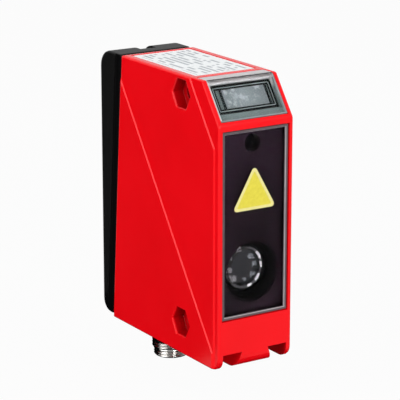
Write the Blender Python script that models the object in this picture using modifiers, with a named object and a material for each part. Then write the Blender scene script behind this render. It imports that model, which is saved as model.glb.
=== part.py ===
"""Laser displacement sensor: a slim upright housing with a triangulation optic.

Metres, +Z up. The front, with its window, faces -Y. The origin lies under the
middle of the dovetail tongue. Inside this file a piece is drawn in sensor
coordinates: across (X), depth behind the front rim (Y) and height above the
feet (Z). One empty carries every piece and moves depth zero to its place.
"""

import math

import bmesh
import bpy
from mathutils import Vector

# Outside of the housing
BODY_WIDTH = 0.0280             # across the plain strips beside the front rim
BODY_HEIGHT = 0.0930            # feet to top face
BODY_DEPTH = 0.0735             # front rim to the back of the rear cover
ORIGIN_DEPTH = 0.0220           # front rim to the origin
SLANT_DROP = 0.01285            # top face down to the foot of the sloping face
SLANT_SETBACK = 0.0095          # front rim to the head of the sloping face
FRONT_FOOT_RADIUS = 0.0040      # fillet under the front
COVER_TOP_LENGTH = 0.0147       # from the joint to the back, at the top
COVER_BOTTOM_LENGTH = 0.0078    # the same at the feet
EDGE_RADIUS = 0.0006
WALL = 0.0018

# Side panels, each a step proud of the one in front of it
PANEL_STEP = 0.00035
PANEL_SETBACK = 0.0021          # plain strip behind the front rim
PANEL_INSET = 0.00015           # panel edge to housing edge
PANEL_CHAMFER = 0.00045
PANEL_SLOPE = 1.41              # rise over run of both diagonal edges
MIDDLE_PANEL_DROP = 0.0202      # top face down to where its diagonal leaves the strip
RAISED_PANEL_START = 0.0059     # height where its diagonal starts

# Nut pockets and their bolt holes, through both sides
NUT_FLATS = 0.0090
NUT_POCKET_DEPTH = 0.0040
NUT_POCKET_CHAMFER = 0.00042
BOLT_HOLE_RADIUS = 0.0027
BOLT_SETBACK = 0.0065           # behind the display cover
UPPER_BOLT_DROP = 0.0062        # below the top face
LOWER_BOLT_HEIGHT = 0.0110
BOLT_BOSS_WALL = 0.0012
BOLT_TUBE_RADIUS = 0.0043

# Dovetail tongue between two slots
SLOT_CEILING = 0.0053
FOOT_WIDTH = 0.0018
TONGUE_NECK = 0.0099
TONGUE_FOOT = 0.0141
TONGUE_TO_CONNECTOR = 0.0087    # end of the tongue to the connector's axis
FLOOR = 0.0018

# Window stack, counted back from the front rim
WINDOW_RIM = 0.0014
WINDOW_BOTTOM = 0.0165
WINDOW_DROP = 0.00185           # below the foot of the sloping face
WINDOW_LEDGE = 0.0016
WINDOW_LEDGE_WIDTH = 0.0013
FRAME_SETBACK = 0.0004
FRAME_THICKNESS = 0.0007
FRAME_SIDE_WIDTH = 0.0010
FRAME_TOP_WIDTH = 0.0011
FRAME_BOTTOM_WIDTH = 0.0007
PANE_THICKNESS = 0.0006
MASK_THICKNESS = 0.0002

# Plain triangular sticker on the pane
STICKER_HEIGHT = 0.0134
STICKER_WIDTH = 0.0150
STICKER_DROP = 0.0214           # emitter axis down to the sticker's base
STICKER_CORNER = 0.0010
STICKER_THICKNESS = 0.00015

# Display stack, counted inward from the sloping face
COVER_FOLD_LENGTH = 0.0147      # down the slope from the top edge
COVER_TOP_REACH = 0.0055        # back along the top face from the same edge
COVER_RECESS = 0.0029
COVER_SINK = 0.0001
COVER_THICKNESS = 0.0012
SURROUND_THICKNESS = 0.0010
SLANT_WALL = 0.0014
BEZEL_TOP = 0.0016
BEZEL_BOTTOM = 0.0112
BEZEL_WIDTH = 0.0225
BEZEL_BORDER = 0.0014
BEZEL_THICKNESS = 0.0008
PANEL_MARGIN = 0.0007           # how far the bezel laps over the display cell
CELL_THICKNESS = 0.0016
DISPLAY_BOARD_TOP = 0.0025
DISPLAY_BOARD_BOTTOM = 0.0115
DISPLAY_BOARD_WIDTH = 0.0160    # passes between the upper bolt bosses

# Label on the top face
LABEL_TO_COVER = 0.0023         # rib between the display cover and the label
LABEL_TO_JOINT = 0.0018
LABEL_WIDTH = 0.0230
LABEL_RECESS = 0.0006
LABEL_THICKNESS = 0.00015
LABEL_CORNER = 0.0008

# Optical channels
RECEIVER_RISE = 0.0146          # window's lower edge up to the receiver axis
EMITTER_DROP = 0.0052           # window's upper edge down to the emitter axis
EMITTER_APERTURE = 0.0029
COLLAR_INSET = 0.0002           # collar to the edge of the carrier plate
COLLAR_WALL = 0.0012
TUBE_LENGTH = 0.0096
TUBE_WALL = 0.0009
APERTURE_MARGIN = 0.0001        # hole in the mask, larger than the tube's bore
RIB_HEIGHT = 0.0003
RIB_COUNT = 4
RIBBED_LENGTH = 0.0034
RETAINER_WIDTH = 0.0018
RETAINER_THICKNESS = 0.0006
LENS_MARGIN = 0.0016            # lens rim, smaller than the tube's bore
LENS_EDGE = 0.0019
LENS_FRONT_BULGE = 0.0024
LENS_REAR_BULGE = 0.0010
LENS_LIP = 0.0008               # seat behind the lens

# Carrier of both channels
CARRIER_PLATE = 0.0025
CARRIER_BOTTOM = 0.0094
CARRIER_DROP = 0.0014           # below the foot of the sloping face
TUNNEL_WALL = 0.0013
TUNNEL_TO_BOARD = 0.0090        # end of the tunnel to the main board
TUNNEL_END_LOW = 0.0181
TUNNEL_END_HIGH = 0.0327
TUNNEL_END_WIDTH = 0.0170
SLEEVE_WALL = 0.0009
SLEEVE_END = 0.0190
CARRIER_SCREW_HEIGHT = 0.0138
CARRIER_SCREW_INSET = 0.0055
CARRIER_SCREW_RADIUS = 0.0010
CARRIER_SCREW_BITE = 0.0026     # length in the front wall
CARRIER_SCREW_HEAD = 0.0019
CARRIER_SCREW_HEAD_HEIGHT = 0.0012

# Laser channel
HOLDER_RADIUS = 0.0043
HOLDER_END = 0.0229
HOLDER_LIP = 0.0028
NOSE_RADIUS = 0.0036            # clears the ledge above it
COLLIMATOR_RADIUS = 0.0033
COLLIMATOR_EDGE = 0.0012
COLLIMATOR_BULGE = 0.0006
COLLIMATOR_FRONT = 0.0059
BEAM_RADIUS = 0.0022
DIODE_FLANGE = 0.0028
DIODE_CAN = 0.00235
DIODE_CAN_LENGTH = 0.0036
DIODE_FLANGE_THICKNESS = 0.0012
DIODE_FRONT = 0.0143
DIODE_PIN_RADIUS = 0.00025
DIODE_PIN_CIRCLE = 0.0013
DIODE_PIN_COUNT = 3
LASER_BOARD_RADIUS = 0.0056

# Boards
BOARD_THICKNESS = 0.0014
SENSOR_BOARD_LOW = 0.0182
SENSOR_BOARD_HIGH = 0.0440
SENSOR_WIDTH = 0.0130
SENSOR_HEIGHT = 0.0100
SENSOR_THICKNESS = 0.0012
MAIN_BOARD_TO_AXIS = 0.0067     # front of the board to the connector's axis
MAIN_BOARD_DROP = 0.0130        # below the top face
PROCESSOR_SIZE = 0.0100
PROCESSOR_HEIGHT = 0.0450
PROCESSOR_THICKNESS = 0.0013

# Rear cover
COVER_BOTTOM_GAP = 0.0008       # the cover stops short of the feet
COVER_TOP_GAP = 0.0001
COVER_TOP_RADIUS = 0.0055
COVER_BOTTOM_RADIUS = 0.0045
COVER_SIDE_RADIUS = 0.0010
COVER_WALL = 0.0020
COVER_LIP = 0.0033              # set-in band beside the housing
COVER_LIP_STEP = 0.0005
COVER_SEAL_THICKNESS = 0.0006
COVER_SEAL_WIDTH = 0.0009
NOTCH_WIDTH = 0.0058
NOTCH_SINK = 0.0007
NOTCH_RUN = 0.0030

# Cover screws
SCREW_INSET = 0.0046            # from the side
UPPER_SCREW_DROP = 0.0105       # below the top face
LOWER_SCREW_HEIGHT = 0.0145
SCREW_RADIUS = 0.00125
SCREW_BITE = 0.0036             # upper screws, in the housing
SCREW_HEAD_RADIUS = 0.0022
SCREW_HEAD_HEIGHT = 0.0016
SCREW_SINK = 0.0006             # head below the back of the cover
SCREW_SOCKET_FLATS = 0.0020
SCREW_SOCKET_DEPTH = 0.0009
SCREW_BOSS_RADIUS = 0.0032

# Round connector under the rear
CONNECTOR_SETBACK = 0.0224      # axis to the back of the rear cover
CONNECTOR_END = -0.0113
COLLAR_RADIUS = 0.0066
COLLAR_END = -0.0081
THREAD_RADIUS = 0.0060
THREAD_CHAMFER = 0.0006
NECK_RADIUS = 0.0052
NECK_TOP = 0.0103
SHELL_BORE = 0.0043
SEAL_THICKNESS = 0.0006
SEAL_RADIUS = 0.0064
NUT_THICKNESS = 0.0022
CONNECTOR_NUT_FLATS = 0.0136
CARRIER_FACE = -0.0036
CONTACT_RADIUS = 0.0005
CONTACT_CIRCLE = 0.0025
CONTACT_COUNT = 5               # four on the circle and one in the middle
CONTACT_TIP = -0.0098
CONTACT_REAR = 0.0013           # above the contact carrier
KEY_WIDTH = 0.0014
KEY_DEPTH = 0.0006
CONNECTOR_BOARD_RADIUS = 0.0054
CONNECTOR_BOARD_THICKNESS = 0.0012

# Working values
GAP = 0.0003                    # between pieces that touch
OVERSHOOT = 0.0010              # how far a cutter runs past a face
WELD = 0.000001
FINE_STEPS = 48
ROUND_STEPS = 32
SMALL_STEPS = 16
SMOOTH_ANGLE = math.radians(32)
ALONG_X = (math.radians(90), 0.0, math.radians(90))
ALONG_Y = (math.radians(90), 0.0, 0.0)

# Values worked out from the ones above
HALF_WIDTH = BODY_WIDTH / 2
SLANT_HEIGHT = BODY_HEIGHT - SLANT_DROP
SLANT_LENGTH = math.hypot(SLANT_SETBACK, SLANT_DROP)
SLANT_ANGLE = math.atan2(SLANT_DROP, SLANT_SETBACK)
PARTING_TOP = BODY_DEPTH - COVER_TOP_LENGTH
PARTING_BOTTOM = BODY_DEPTH - COVER_BOTTOM_LENGTH
CONNECTOR_DEPTH = BODY_DEPTH - CONNECTOR_SETBACK
TONGUE_LENGTH = CONNECTOR_DEPTH - TONGUE_TO_CONNECTOR
COVER_TOP_DEPTH = SLANT_SETBACK + COVER_TOP_REACH
BOLT_DEPTH = COVER_TOP_DEPTH + BOLT_SETBACK
UPPER_BOLT_HEIGHT = BODY_HEIGHT - UPPER_BOLT_DROP
MIDDLE_PANEL_START = BODY_HEIGHT - MIDDLE_PANEL_DROP
LABEL_FRONT = COVER_TOP_DEPTH + LABEL_TO_COVER
LABEL_REAR = PARTING_TOP - LABEL_TO_JOINT
MIDDLE_FACE = HALF_WIDTH + PANEL_STEP
RAISED_FACE = MIDDLE_FACE + PANEL_STEP
NUT_POCKET_FLOOR = MIDDLE_FACE - NUT_POCKET_DEPTH
WINDOW_TOP = SLANT_HEIGHT - WINDOW_DROP
PANE_SETBACK = FRAME_SETBACK + FRAME_THICKNESS + GAP
PANE_BACK = PANE_SETBACK + PANE_THICKNESS
MASK_FRONT = PANE_BACK + GAP
MASK_BACK = MASK_FRONT + MASK_THICKNESS
WINDOW_RECESS = MASK_BACK + GAP
CAVITY_HALF = HALF_WIDTH - WALL
CAVITY_FRONT = WINDOW_RECESS + WINDOW_LEDGE
CAVITY_FLOOR = SLOT_CEILING + FLOOR
CAVITY_TOP = BODY_HEIGHT - WALL
SLANT_INNER = COVER_RECESS + SLANT_WALL
WINDOW_HALF = HALF_WIDTH - WINDOW_RIM
PANE_HALF = WINDOW_HALF - GAP
PANE_BOTTOM = WINDOW_BOTTOM + GAP
PANE_TOP = WINDOW_TOP - GAP
EMITTER_HEIGHT = WINDOW_TOP - EMITTER_DROP
RECEIVER_HEIGHT = WINDOW_BOTTOM + RECEIVER_RISE
STICKER_BASE = EMITTER_HEIGHT - STICKER_DROP
BOARD_HALF = CAVITY_HALF - GAP
NUT_CORNER = NUT_FLATS / 2 / math.cos(math.radians(30))
BOLT_BOSS_RADIUS = NUT_CORNER + BOLT_BOSS_WALL
CARRIER_FRONT = CAVITY_FRONT + GAP
CARRIER_BACK = CARRIER_FRONT + CARRIER_PLATE
CARRIER_TOP = SLANT_HEIGHT - CARRIER_DROP
CARRIER_SCREW_ACROSS = HALF_WIDTH - CARRIER_SCREW_INSET
TUBE_FRONT = MASK_BACK + GAP
TUBE_BACK = TUBE_FRONT + TUBE_LENGTH
COLLAR_HALF = BOARD_HALF - COLLAR_INSET
CARRIER_BORE = COLLAR_HALF - COLLAR_WALL
TUBE_RADIUS = CARRIER_BORE - GAP
TUBE_BORE = TUBE_RADIUS - TUBE_WALL
LENS_RADIUS = TUBE_BORE - LENS_MARGIN
COLLAR_BACK = TUBE_BACK + GAP + TUNNEL_WALL
RETAINER_FRONT = TUBE_FRONT + RIBBED_LENGTH + GAP
LENS_SHOULDER = RETAINER_FRONT + RETAINER_THICKNESS + GAP
LENS_FRONT = LENS_SHOULDER + GAP
MAIN_BOARD_DEPTH = CONNECTOR_DEPTH - MAIN_BOARD_TO_AXIS
MAIN_BOARD_HIGH = BODY_HEIGHT - MAIN_BOARD_DROP
TUNNEL_END = MAIN_BOARD_DEPTH - TUNNEL_TO_BOARD
SENSOR_BOARD_FRONT = TUNNEL_END + GAP
SEAL_SPACE = COVER_SEAL_THICKNESS + 2 * GAP
COVER_LOW = COVER_BOTTOM_GAP
COVER_HIGH = BODY_HEIGHT - COVER_TOP_GAP
UPPER_SCREW_HEIGHT = BODY_HEIGHT - UPPER_SCREW_DROP
SCREW_ACROSS = HALF_WIDTH - SCREW_INSET
SCREW_SEAT = BODY_DEPTH - SCREW_SINK - SCREW_HEAD_HEIGHT - GAP
PARTING_LEAN = (PARTING_TOP - PARTING_BOTTOM) / BODY_HEIGHT
SCREW_TIP = PARTING_BOTTOM + PARTING_LEAN * UPPER_SCREW_HEIGHT - SCREW_BITE
SCREW_LENGTH = SCREW_SEAT + GAP - SCREW_TIP
CONTACT_TOP = NECK_TOP + GAP + CONTACT_REAR
CONNECTOR_BOARD_LOW = CONTACT_TOP + GAP
MAIN_BOARD_LOW = CONNECTOR_BOARD_LOW + CONNECTOR_BOARD_THICKNESS + GAP


def clear_scene():
    """Remove what the file holds before building."""
    for item in list(bpy.data.objects):
        bpy.data.objects.remove(item)


def new_collection(name):
    """Make a collection under the scene's own."""
    collection = bpy.data.collections.new(name)
    bpy.context.scene.collection.children.link(collection)
    return collection


clear_scene()
SENSOR = new_collection("laser_displacement_sensor")
CUTTERS = new_collection("cutters")
FRAME = bpy.data.objects.new("sensor_frame", None)
FRAME.location.y = -ORIGIN_DEPTH
SENSOR.objects.link(FRAME)


def material(name, colour, roughness, metallic=0.0, alpha=1.0):
    """A Principled material, made once and shared by name."""
    finish = bpy.data.materials.get(name)
    if finish is None:
        finish = bpy.data.materials.new(name)
        finish.use_nodes = True
        shader = finish.node_tree.nodes["Principled BSDF"]
        shader.inputs["Base Color"].default_value = (*colour, 1.0)
        shader.inputs["Roughness"].default_value = roughness
        shader.inputs["Metallic"].default_value = metallic
        shader.inputs["Alpha"].default_value = alpha
        finish.diffuse_color = (*colour, alpha)
    return finish


RED = material("red_lacquer", (0.80, 0.01, 0.03), 0.35)
BLACK = material("black_moulding", (0.012, 0.012, 0.012), 0.55)
GREY = material("grey_moulding", (0.42, 0.43, 0.42), 0.5)
RUBBER = material("rubber", (0.03, 0.03, 0.03), 0.8)
CLEAR = material("clear_plastic", (0.85, 0.88, 0.86), 0.08, alpha=0.3)
GLASS = material("lens_glass", (0.80, 0.88, 0.90), 0.03, alpha=0.35)
PRINT = material("dark_print", (0.035, 0.022, 0.035), 0.3)
WHITE = material("white_label", (0.82, 0.84, 0.84), 0.45)
YELLOW = material("yellow_sticker", (0.90, 0.72, 0.02), 0.4)
DISPLAY = material("display_glass", (0.20, 0.22, 0.22), 0.2)
BOARD = material("circuit_board", (0.02, 0.16, 0.06), 0.5)
CHIP = material("chip_package", (0.02, 0.02, 0.022), 0.45)
STEEL = material("steel", (0.55, 0.56, 0.57), 0.3, metallic=1.0)
NICKEL = material("nickelled_brass", (0.62, 0.60, 0.55), 0.22, metallic=1.0)
BRASS = material("brass", (0.65, 0.45, 0.15), 0.3, metallic=1.0)
GOLD = material("gold_contact", (0.83, 0.61, 0.20), 0.25, metallic=1.0)


def hang(item, location, rotation):
    """Set an object on the common frame."""
    item.parent = FRAME
    item.location = location
    item.rotation_euler = rotation
    return item


def part(name, mesh, finish, location=(0, 0, 0), rotation=(0, 0, 0)):
    """Add one named piece of the sensor."""
    piece = bpy.data.objects.new(name, mesh)
    SENSOR.objects.link(piece)
    if not mesh.materials:
        mesh.materials.append(finish)
    return hang(piece, location, rotation)


def cutter(name, mesh, location=(0, 0, 0), rotation=(0, 0, 0)):
    """Add a guide solid that only shapes other pieces."""
    guide = bpy.data.objects.new(name, mesh)
    CUTTERS.objects.link(guide)
    guide.hide_render = True
    guide.display_type = "WIRE"
    return hang(guide, location, rotation)


def boolean(piece, tool, operation):
    """Cut, join or trim one solid by another, exactly."""
    step = piece.modifiers.new(f"{operation.lower()}_{tool.name}", "BOOLEAN")
    step.operation = operation
    step.solver = "EXACT"
    step.object = tool
    return piece


def cut(piece, *tools):
    """Take each tool's solid out of the piece."""
    for tool in tools:
        boolean(piece, tool, "DIFFERENCE")
    return piece


def join(piece, *tools):
    """Add each tool's solid to the piece."""
    for tool in tools:
        boolean(piece, tool, "UNION")
    return piece


def round_edges(piece, radius, segments=2):
    """Round every edge sharper than thirty degrees."""
    bevel = piece.modifiers.new("edge_round", "BEVEL")
    bevel.width = radius
    bevel.segments = segments
    bevel.limit_method = "ANGLE"
    bevel.angle_limit = math.radians(30)
    return piece


def mirror_across(piece):
    """Repeat the piece on the other side of the sensor."""
    mirror = piece.modifiers.new("other_side", "MIRROR")
    mirror.mirror_object = FRAME
    mirror.use_mirror_merge = False
    mirror.use_axis = (True, False, False)
    return piece


def smooth(piece):
    """Shade the round stretches smooth and leave the edges sharp."""
    piece.data.shade_smooth()
    piece.data.set_sharp_from_angle(angle=SMOOTH_ANGLE)
    return piece


def tidy(mesh):
    """Weld a mesh, merge its flat faces and turn its faces outward."""
    shape = bmesh.new()
    shape.from_mesh(mesh)
    bmesh.ops.remove_doubles(shape, verts=shape.verts, dist=WELD)
    bmesh.ops.dissolve_limit(shape, angle_limit=math.radians(0.5), verts=shape.verts, edges=shape.edges)
    bmesh.ops.recalc_face_normals(shape, faces=shape.faces)
    shape.to_mesh(mesh)
    shape.free()
    return mesh


def evaluated_mesh(item):
    """Turn an object with its modifiers into a plain mesh, and drop the object."""
    depsgraph = bpy.context.evaluated_depsgraph_get()
    mesh = bpy.data.meshes.new_from_object(item.evaluated_get(depsgraph))
    bpy.data.objects.remove(item)
    return mesh


def plate(name, outline, thickness, holes=()):
    """A flat outline, filled and extruded half its thickness both ways."""
    curve = bpy.data.curves.new(name, "CURVE")
    curve.dimensions = "2D"
    curve.fill_mode = "BOTH"
    curve.extrude = thickness / 2
    for points in (outline, *holes):
        spline = curve.splines.new("POLY")
        spline.points.add(len(points) - 1)
        spline.use_cyclic_u = True
        for point, (right, up) in zip(spline.points, points):
            point.co = (right, up, 0.0, 1.0)
    drawing = bpy.data.objects.new(name + "_outline", curve)
    CUTTERS.objects.link(drawing)
    return tidy(evaluated_mesh(drawing))


def turned(name, profile, closed=True, steps=ROUND_STEPS):
    """Turn a profile of (radius, height) points about the Z axis."""
    mesh = bpy.data.meshes.new(name)
    shape = bmesh.new()
    corners = [shape.verts.new((radius, 0.0, height)) for radius, height in profile]
    for first, second in zip(corners, corners[1:]):
        shape.edges.new((first, second))
    if closed:
        shape.edges.new((corners[-1], corners[0]))
    shape.to_mesh(mesh)
    shape.free()
    lathe = bpy.data.objects.new(name + "_profile", mesh)
    CUTTERS.objects.link(lathe)
    screw = lathe.modifiers.new("turn", "SCREW")
    screw.steps = steps
    screw.render_steps = steps
    screw.use_merge_vertices = True
    screw.merge_threshold = WELD
    return tidy(evaluated_mesh(lathe))


def cylinder(name, radius, length, steps=ROUND_STEPS, end_radius=None):
    """A cylinder, or a cone, along Z with its middle at the origin."""
    mesh = bpy.data.meshes.new(name)
    shape = bmesh.new()
    bmesh.ops.create_cone(
        shape,
        cap_ends=True,
        segments=steps,
        radius1=radius,
        radius2=radius if end_radius is None else end_radius,
        depth=length,
    )
    shape.to_mesh(mesh)
    shape.free()
    return mesh


def block(name, low, high):
    """A box between two opposite corners."""
    mesh = bpy.data.meshes.new(name)
    shape = bmesh.new()
    bmesh.ops.create_cube(shape, size=1.0)
    middle = (Vector(low) + Vector(high)) / 2
    size = Vector(high) - Vector(low)
    for corner in shape.verts:
        corner.co = middle + Vector(a * b for a, b in zip(corner.co, size))
    shape.to_mesh(mesh)
    shape.free()
    return mesh


def tapered_block(name, front, back, near, far):
    """A four-sided loft along the depth; each end is (half width, low, high)."""
    mesh = bpy.data.meshes.new(name)
    shape = bmesh.new()
    bmesh.ops.create_cube(shape, size=1.0)
    for corner in shape.verts:
        half, low, high = front if corner.co.y < 0 else back
        depth = near if corner.co.y < 0 else far
        corner.co = (math.copysign(half, corner.co.x), depth, low if corner.co.z < 0 else high)
    shape.to_mesh(mesh)
    shape.free()
    return mesh


def arc(centre, radius, start, end, steps):
    """Points on an arc about a centre, from one angle in degrees to another."""
    angles = [math.radians(start + (end - start) * index / steps) for index in range(steps + 1)]
    return [(centre[0] + radius * math.cos(angle), centre[1] + radius * math.sin(angle)) for angle in angles]


def rectangle(left, right, low, high):
    """The corners of an upright rectangle."""
    return [(left, low), (right, low), (right, high), (left, high)]


def round_rectangle(left, right, low, high, radius, steps=4):
    """A rectangle with round corners."""
    outline = []
    corners = [(right, high, 0), (left, high, 90), (left, low, 180), (right, low, 270)]
    for across, up, start in corners:
        centre = (
            across - radius if across == right else across + radius,
            up - radius if up == high else up + radius,
        )
        outline += arc(centre, radius, start, start + 90, steps)
    return outline


def parting_depth(height):
    """Depth of the joint between housing and rear cover at a height."""
    return PARTING_BOTTOM + PARTING_LEAN * height


def slant_point(down, sink):
    """A side-view point: down the slope from its top edge, and sunk below it."""
    run = SLANT_SETBACK / SLANT_LENGTH
    rise = SLANT_DROP / SLANT_LENGTH
    return (SLANT_SETBACK - run * down + rise * sink, BODY_HEIGHT - rise * down - run * sink)


def fold_point(sink):
    """Where the sloping face and the top face meet once both are sunk."""
    run = SLANT_SETBACK / SLANT_LENGTH
    rise = SLANT_DROP / SLANT_LENGTH
    return slant_point(sink * (1 - run) / rise, sink)


def folded_outline(outer, inner, end_gap):
    """Side view of a sheet folded over the top front edge."""
    slope_end = COVER_FOLD_LENGTH - end_gap
    top_end = COVER_TOP_DEPTH - end_gap
    return [
        slant_point(slope_end, outer),
        fold_point(outer),
        (top_end, BODY_HEIGHT - outer),
        (top_end, BODY_HEIGHT - inner),
        fold_point(inner),
        slant_point(slope_end, inner),
    ]


def side_solid(name, outline, half_width):
    """A side-view outline carried across the sensor."""
    return plate(name, outline, 2 * half_width)


def front_solid(name, outline, near, far, finish, holes=()):
    """A front-view outline between two depths, as a piece."""
    mesh = plate(name, outline, far - near, holes)
    return part(name, mesh, finish, (0, (near + far) / 2, 0), ALONG_Y)


def depth_bore(name, radius, near, far, across, height, steps=ROUND_STEPS):
    """A cutter for a round hole along the depth."""
    place = (across, (near + far) / 2, height)
    return cutter(name, cylinder(name, radius, far - near, steps), place, ALONG_Y)


def front_fillet(inset):
    """The rounded front foot, moved inward by an inset."""
    centre = (FRONT_FOOT_RADIUS, FRONT_FOOT_RADIUS)
    return arc(centre, FRONT_FOOT_RADIUS - inset, 270, 180, 6)


def housing_outline():
    """Side view of the housing, from the front foot round to the parting line."""
    return front_fillet(0.0) + [
        (0.0, SLANT_HEIGHT),
        (SLANT_SETBACK, BODY_HEIGHT),
        (PARTING_TOP, BODY_HEIGHT),
        (PARTING_BOTTOM, 0.0),
    ]


def panel_foot(setback, inset):
    """Lower front corner of a side panel: the fillet, clipped at the setback."""
    radius = FRONT_FOOT_RADIUS - inset
    reach = (FRONT_FOOT_RADIUS - setback) / radius
    end = 180 + math.degrees(math.acos(max(0.0, reach)))
    return arc((FRONT_FOOT_RADIUS, FRONT_FOOT_RADIUS), radius, 270, end, 3)


def middle_panel_outline():
    """Side view of the middle panel, behind the upper diagonal."""
    top = BODY_HEIGHT - PANEL_INSET
    corner = PANEL_SETBACK + (top - MIDDLE_PANEL_START) / PANEL_SLOPE
    return panel_foot(PANEL_SETBACK, PANEL_INSET) + [
        (PANEL_SETBACK, MIDDLE_PANEL_START),
        (corner, top),
        (parting_depth(top) - PANEL_INSET, top),
        (parting_depth(PANEL_INSET) - PANEL_INSET, PANEL_INSET),
    ]


def raised_panel_outline():
    """Side view of the raised panel, below the long diagonal."""
    setback = PANEL_SETBACK + PANEL_STEP + PANEL_INSET
    depth_at_start = parting_depth(RAISED_PANEL_START) - 2 * PANEL_INSET
    rise = PANEL_SLOPE * (depth_at_start - setback) / (1 - PANEL_SLOPE * PARTING_LEAN)
    top = RAISED_PANEL_START + rise
    return panel_foot(setback, 2 * PANEL_INSET) + [
        (setback, RAISED_PANEL_START),
        (parting_depth(top) - 2 * PANEL_INSET, top),
        (parting_depth(PANEL_INSET) - 2 * PANEL_INSET, 2 * PANEL_INSET),
    ]


def side_panel(name, outline, face):
    """A thin plate bedded in the housing's side, its outer edges chamfered."""
    bed = HALF_WIDTH - 2 * EDGE_RADIUS
    mesh = plate(name, outline, face - bed)
    shape = bmesh.new()
    shape.from_mesh(mesh)
    outer = max(corner.co.z for corner in shape.verts)
    rim = [edge for edge in shape.edges if all(outer - corner.co.z < WELD for corner in edge.verts)]
    bmesh.ops.bevel(shape, geom=rim, offset=PANEL_CHAMFER, segments=1, affect="EDGES", clamp_overlap=True)
    shape.to_mesh(mesh)
    shape.free()
    return mirror_across(cutter(name, mesh, ((bed + face) / 2, 0, 0), ALONG_X))


def cavity_outline():
    """Side view of the housing's hollow, open at the back."""
    fold_depth, low_ceiling = fold_point(SLANT_INNER)
    front_height = low_ceiling - (fold_depth - CAVITY_FRONT) * SLANT_DROP / SLANT_SETBACK
    step = COVER_TOP_DEPTH + SLANT_WALL
    behind = PARTING_BOTTOM + OVERSHOOT
    return [
        (CAVITY_FRONT, CAVITY_FLOOR),
        (CAVITY_FRONT, front_height),
        (fold_depth, low_ceiling),
        (step, low_ceiling),
        (step, CAVITY_TOP),
        (behind, CAVITY_TOP),
        (behind, CAVITY_FLOOR),
    ]


def screw_places():
    """The four cover screws: name, across and height."""
    sides = {"left": -SCREW_ACROSS, "right": SCREW_ACROSS}
    rows = {"upper": UPPER_SCREW_HEIGHT, "lower": LOWER_SCREW_HEIGHT}
    return [(f"{row}_{side}", sides[side], rows[row]) for row in rows for side in sides]


def cavity_cutter():
    """The hollow, less the bolt bosses and the screw bosses that cross it."""
    mesh = side_solid("housing_hollow", cavity_outline(), CAVITY_HALF)
    hollow = cutter("housing_hollow", mesh, (0, 0, 0), ALONG_X)
    boss_length = CAVITY_HALF - (NUT_POCKET_FLOOR - FLOOR) + OVERSHOOT
    boss_middle = CAVITY_HALF + OVERSHOOT - boss_length / 2
    for row, height in (("upper", UPPER_BOLT_HEIGHT), ("lower", LOWER_BOLT_HEIGHT)):
        tube = cylinder(f"{row}_bolt_tube", BOLT_TUBE_RADIUS, BODY_WIDTH, SMALL_STEPS)
        cut(hollow, cutter(f"{row}_bolt_tube", tube, (0, BOLT_DEPTH, height), ALONG_X))
        boss = cylinder(f"{row}_bolt_boss", BOLT_BOSS_RADIUS, boss_length, SMALL_STEPS)
        place = (boss_middle, BOLT_DEPTH, height)
        cut(hollow, mirror_across(cutter(f"{row}_bolt_boss", boss, place, ALONG_X)))
    boss_start = SCREW_TIP - WALL
    for place, across, height in screw_places():
        name = f"screw_boss_{place}"
        cut(hollow, depth_bore(name, SCREW_BOSS_RADIUS, boss_start, BODY_DEPTH, across, height, SMALL_STEPS))
    return hollow


def dovetail_cutters():
    """The slot beside the tongue, repeated on the other side, and the bay behind it."""
    inner_wall = HALF_WIDTH - FOOT_WIDTH
    flare = (TONGUE_FOOT - TONGUE_NECK) / 2 / SLOT_CEILING
    below = TONGUE_FOOT / 2 + flare * OVERSHOOT
    outline = [
        (TONGUE_NECK / 2, SLOT_CEILING),
        (inner_wall, SLOT_CEILING),
        (inner_wall, -OVERSHOOT),
        (below, -OVERSHOOT),
    ]
    length = TONGUE_LENGTH + 2 * OVERSHOOT
    place = (0, TONGUE_LENGTH / 2, 0)
    slot = cutter("dovetail_slot", plate("dovetail_slot", outline, length), place, ALONG_Y)
    low = (-inner_wall, TONGUE_LENGTH, -OVERSHOOT)
    high = (inner_wall, PARTING_BOTTOM + OVERSHOOT, SLOT_CEILING)
    return mirror_across(slot), cutter("connector_bay", block("connector_bay", low, high))


def hexagon_pocket(name, mouth):
    """A six-sided pocket along Z, from its floor out past its chamfered mouth."""
    flare = NUT_POCKET_CHAMFER + OVERSHOOT
    profile = [
        (0.0, NUT_POCKET_FLOOR),
        (NUT_CORNER, NUT_POCKET_FLOOR),
        (NUT_CORNER, mouth - NUT_POCKET_CHAMFER),
        (NUT_CORNER + flare, mouth + OVERSHOOT),
        (0.0, mouth + OVERSHOOT),
    ]
    return turned(name, profile, closed=False, steps=6)


def nut_pocket_cutters():
    """Hexagonal pockets on both sides, with one bolt hole through each pair."""
    tools = []
    rows = (("upper", UPPER_BOLT_HEIGHT, MIDDLE_FACE), ("lower", LOWER_BOLT_HEIGHT, RAISED_FACE))
    for row, height, mouth in rows:
        place = (0, BOLT_DEPTH, height)
        hole = cylinder(f"{row}_bolt_hole", BOLT_HOLE_RADIUS, 2 * (RAISED_FACE + OVERSHOOT), SMALL_STEPS)
        tools.append(cutter(f"{row}_bolt_hole", hole, place, ALONG_X))
        pocket = hexagon_pocket(f"{row}_nut_pocket", mouth)
        tools.append(mirror_across(cutter(f"{row}_nut_pocket", pocket, place, ALONG_X)))
    return tools


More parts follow.
